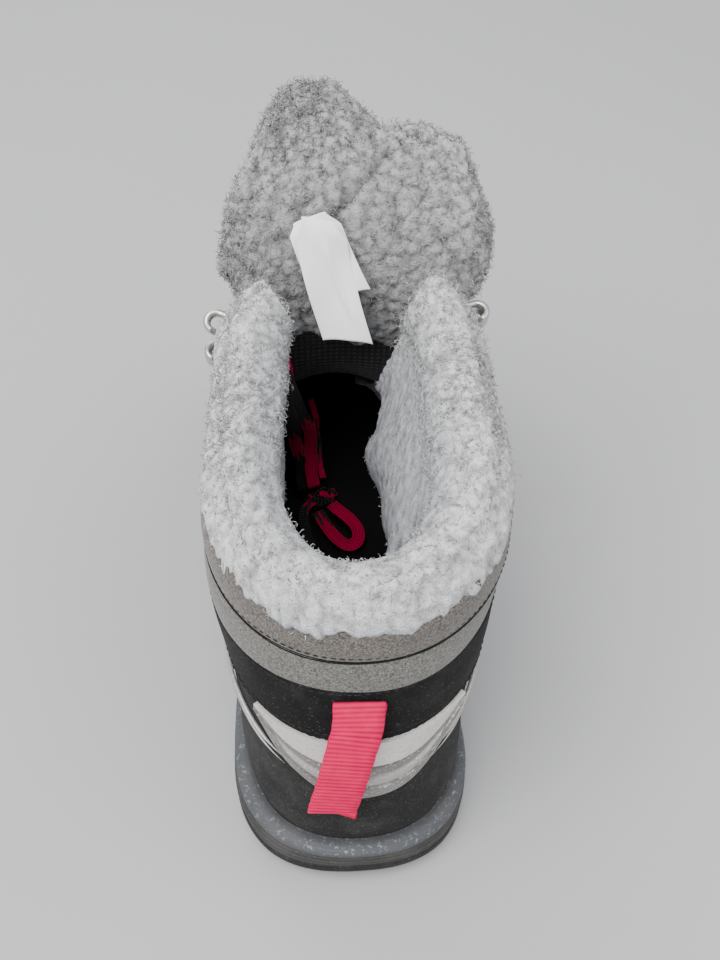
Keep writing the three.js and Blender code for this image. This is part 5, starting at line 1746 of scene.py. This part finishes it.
class BOOT_OT_camera(bpy.types.Operator):
    """Sets up the camera behind and above the heel"""
    bl_idname = "boot.camera"
    bl_label = "Camera"

    def execute(self, context):
        eye = Vector((-12.5, -235.4, 357)) * MM
        looks_at = Vector((6.5, 62, 92)) * MM
        data = bpy.data.cameras.new("camera")
        data.sensor_fit = "VERTICAL"
        data.sensor_height = 36
        data.lens = 36 * 1140 / 960
        data.clip_start = 0.01
        camera = bpy.data.objects.new("camera", data)
        context.collection.objects.link(camera)
        camera.location = eye
        camera.rotation_euler = (looks_at - eye).to_track_quat("-Z", "Y").to_euler()
        context.scene.camera = camera
        return {"FINISHED"}


class BOOT_OT_stage(bpy.types.Operator):
    """Lays the floor and hangs soft lights"""
    bl_idname = "boot.stage"
    bl_label = "Stage"

    def execute(self, context):
        clear_selection()
        bpy.ops.mesh.primitive_plane_add(size=8)
        floor = context.active_object
        floor.name = "floor"
        bench = Bench("floor_grey", 0.9)
        bench.set_socket("Base Color", bench.mix(bench.noise(400, 2), (0.40, 0.40, 0.403), (0.43, 0.43, 0.433)))
        floor.data.materials.append(bench.material)
        for name, place, size, power in (
            ("key", (-0.6, -0.75, 1.4), 1.4, 48),
            ("fill", (1.0, -0.5, 1.2), 1.6, 12),
            ("back", (-0.3, 1.3, 1.2), 1.2, 14),
        ):
            data = bpy.data.lights.new(name, "AREA")
            data.size = size
            data.energy = power
            light = bpy.data.objects.new(name, data)
            context.collection.objects.link(light)
            light.location = place
            light.rotation_euler = (Vector((0, 0.08, 0.08)) - Vector(place)).to_track_quat("-Z", "Y").to_euler()
        world = bpy.data.worlds.new("studio")
        world.use_nodes = True
        world.node_tree.nodes["Background"].inputs["Color"].default_value = (0.93, 0.95, 1, 1)
        world.node_tree.nodes["Background"].inputs["Strength"].default_value = 0.75
        context.scene.world = world
        return {"FINISHED"}


class BOOT_PT_panel(bpy.types.Panel):
    """Lists the boot's sizes, colours and pieces"""
    bl_idname = "BOOT_PT_panel"
    bl_label = "Snow Boot"
    bl_space_type = "VIEW_3D"
    bl_region_type = "UI"
    bl_category = "Snow Boot"

    def draw(self, context):
        for group in (context.scene.boot_sizes, context.scene.boot_colours):
            for name in group.__annotations__:
                self.layout.prop(group, name)
        for operator in PIECES:
            self.layout.operator(operator.bl_idname)


PIECES = (
    BOOT_OT_camera, BOOT_OT_cords, BOOT_OT_stage, BOOT_OT_upper, BOOT_OT_collar, BOOT_OT_tongue, BOOT_OT_front,
    BOOT_OT_counter, BOOT_OT_sole, BOOT_OT_pull_loop, BOOT_OT_label, BOOT_OT_laces, BOOT_OT_hardware,
)
CLASSES = (BootSizes, BootColours, *PIECES, BOOT_PT_panel)


def register():
    for cls in CLASSES:
        bpy.utils.register_class(cls)
    bpy.types.Scene.boot_sizes = bpy.props.PointerProperty(type=BootSizes)
    bpy.types.Scene.boot_colours = bpy.props.PointerProperty(type=BootColours)


def unregister():
    del bpy.types.Scene.boot_sizes
    del bpy.types.Scene.boot_colours
    for cls in reversed(CLASSES):
        bpy.utils.unregister_class(cls)


def main():
    register()
    for operator in PIECES:
        group, name = operator.bl_idname.split(".")
        getattr(getattr(bpy.ops, group), name)()


if __name__ == "__main__":
    main()
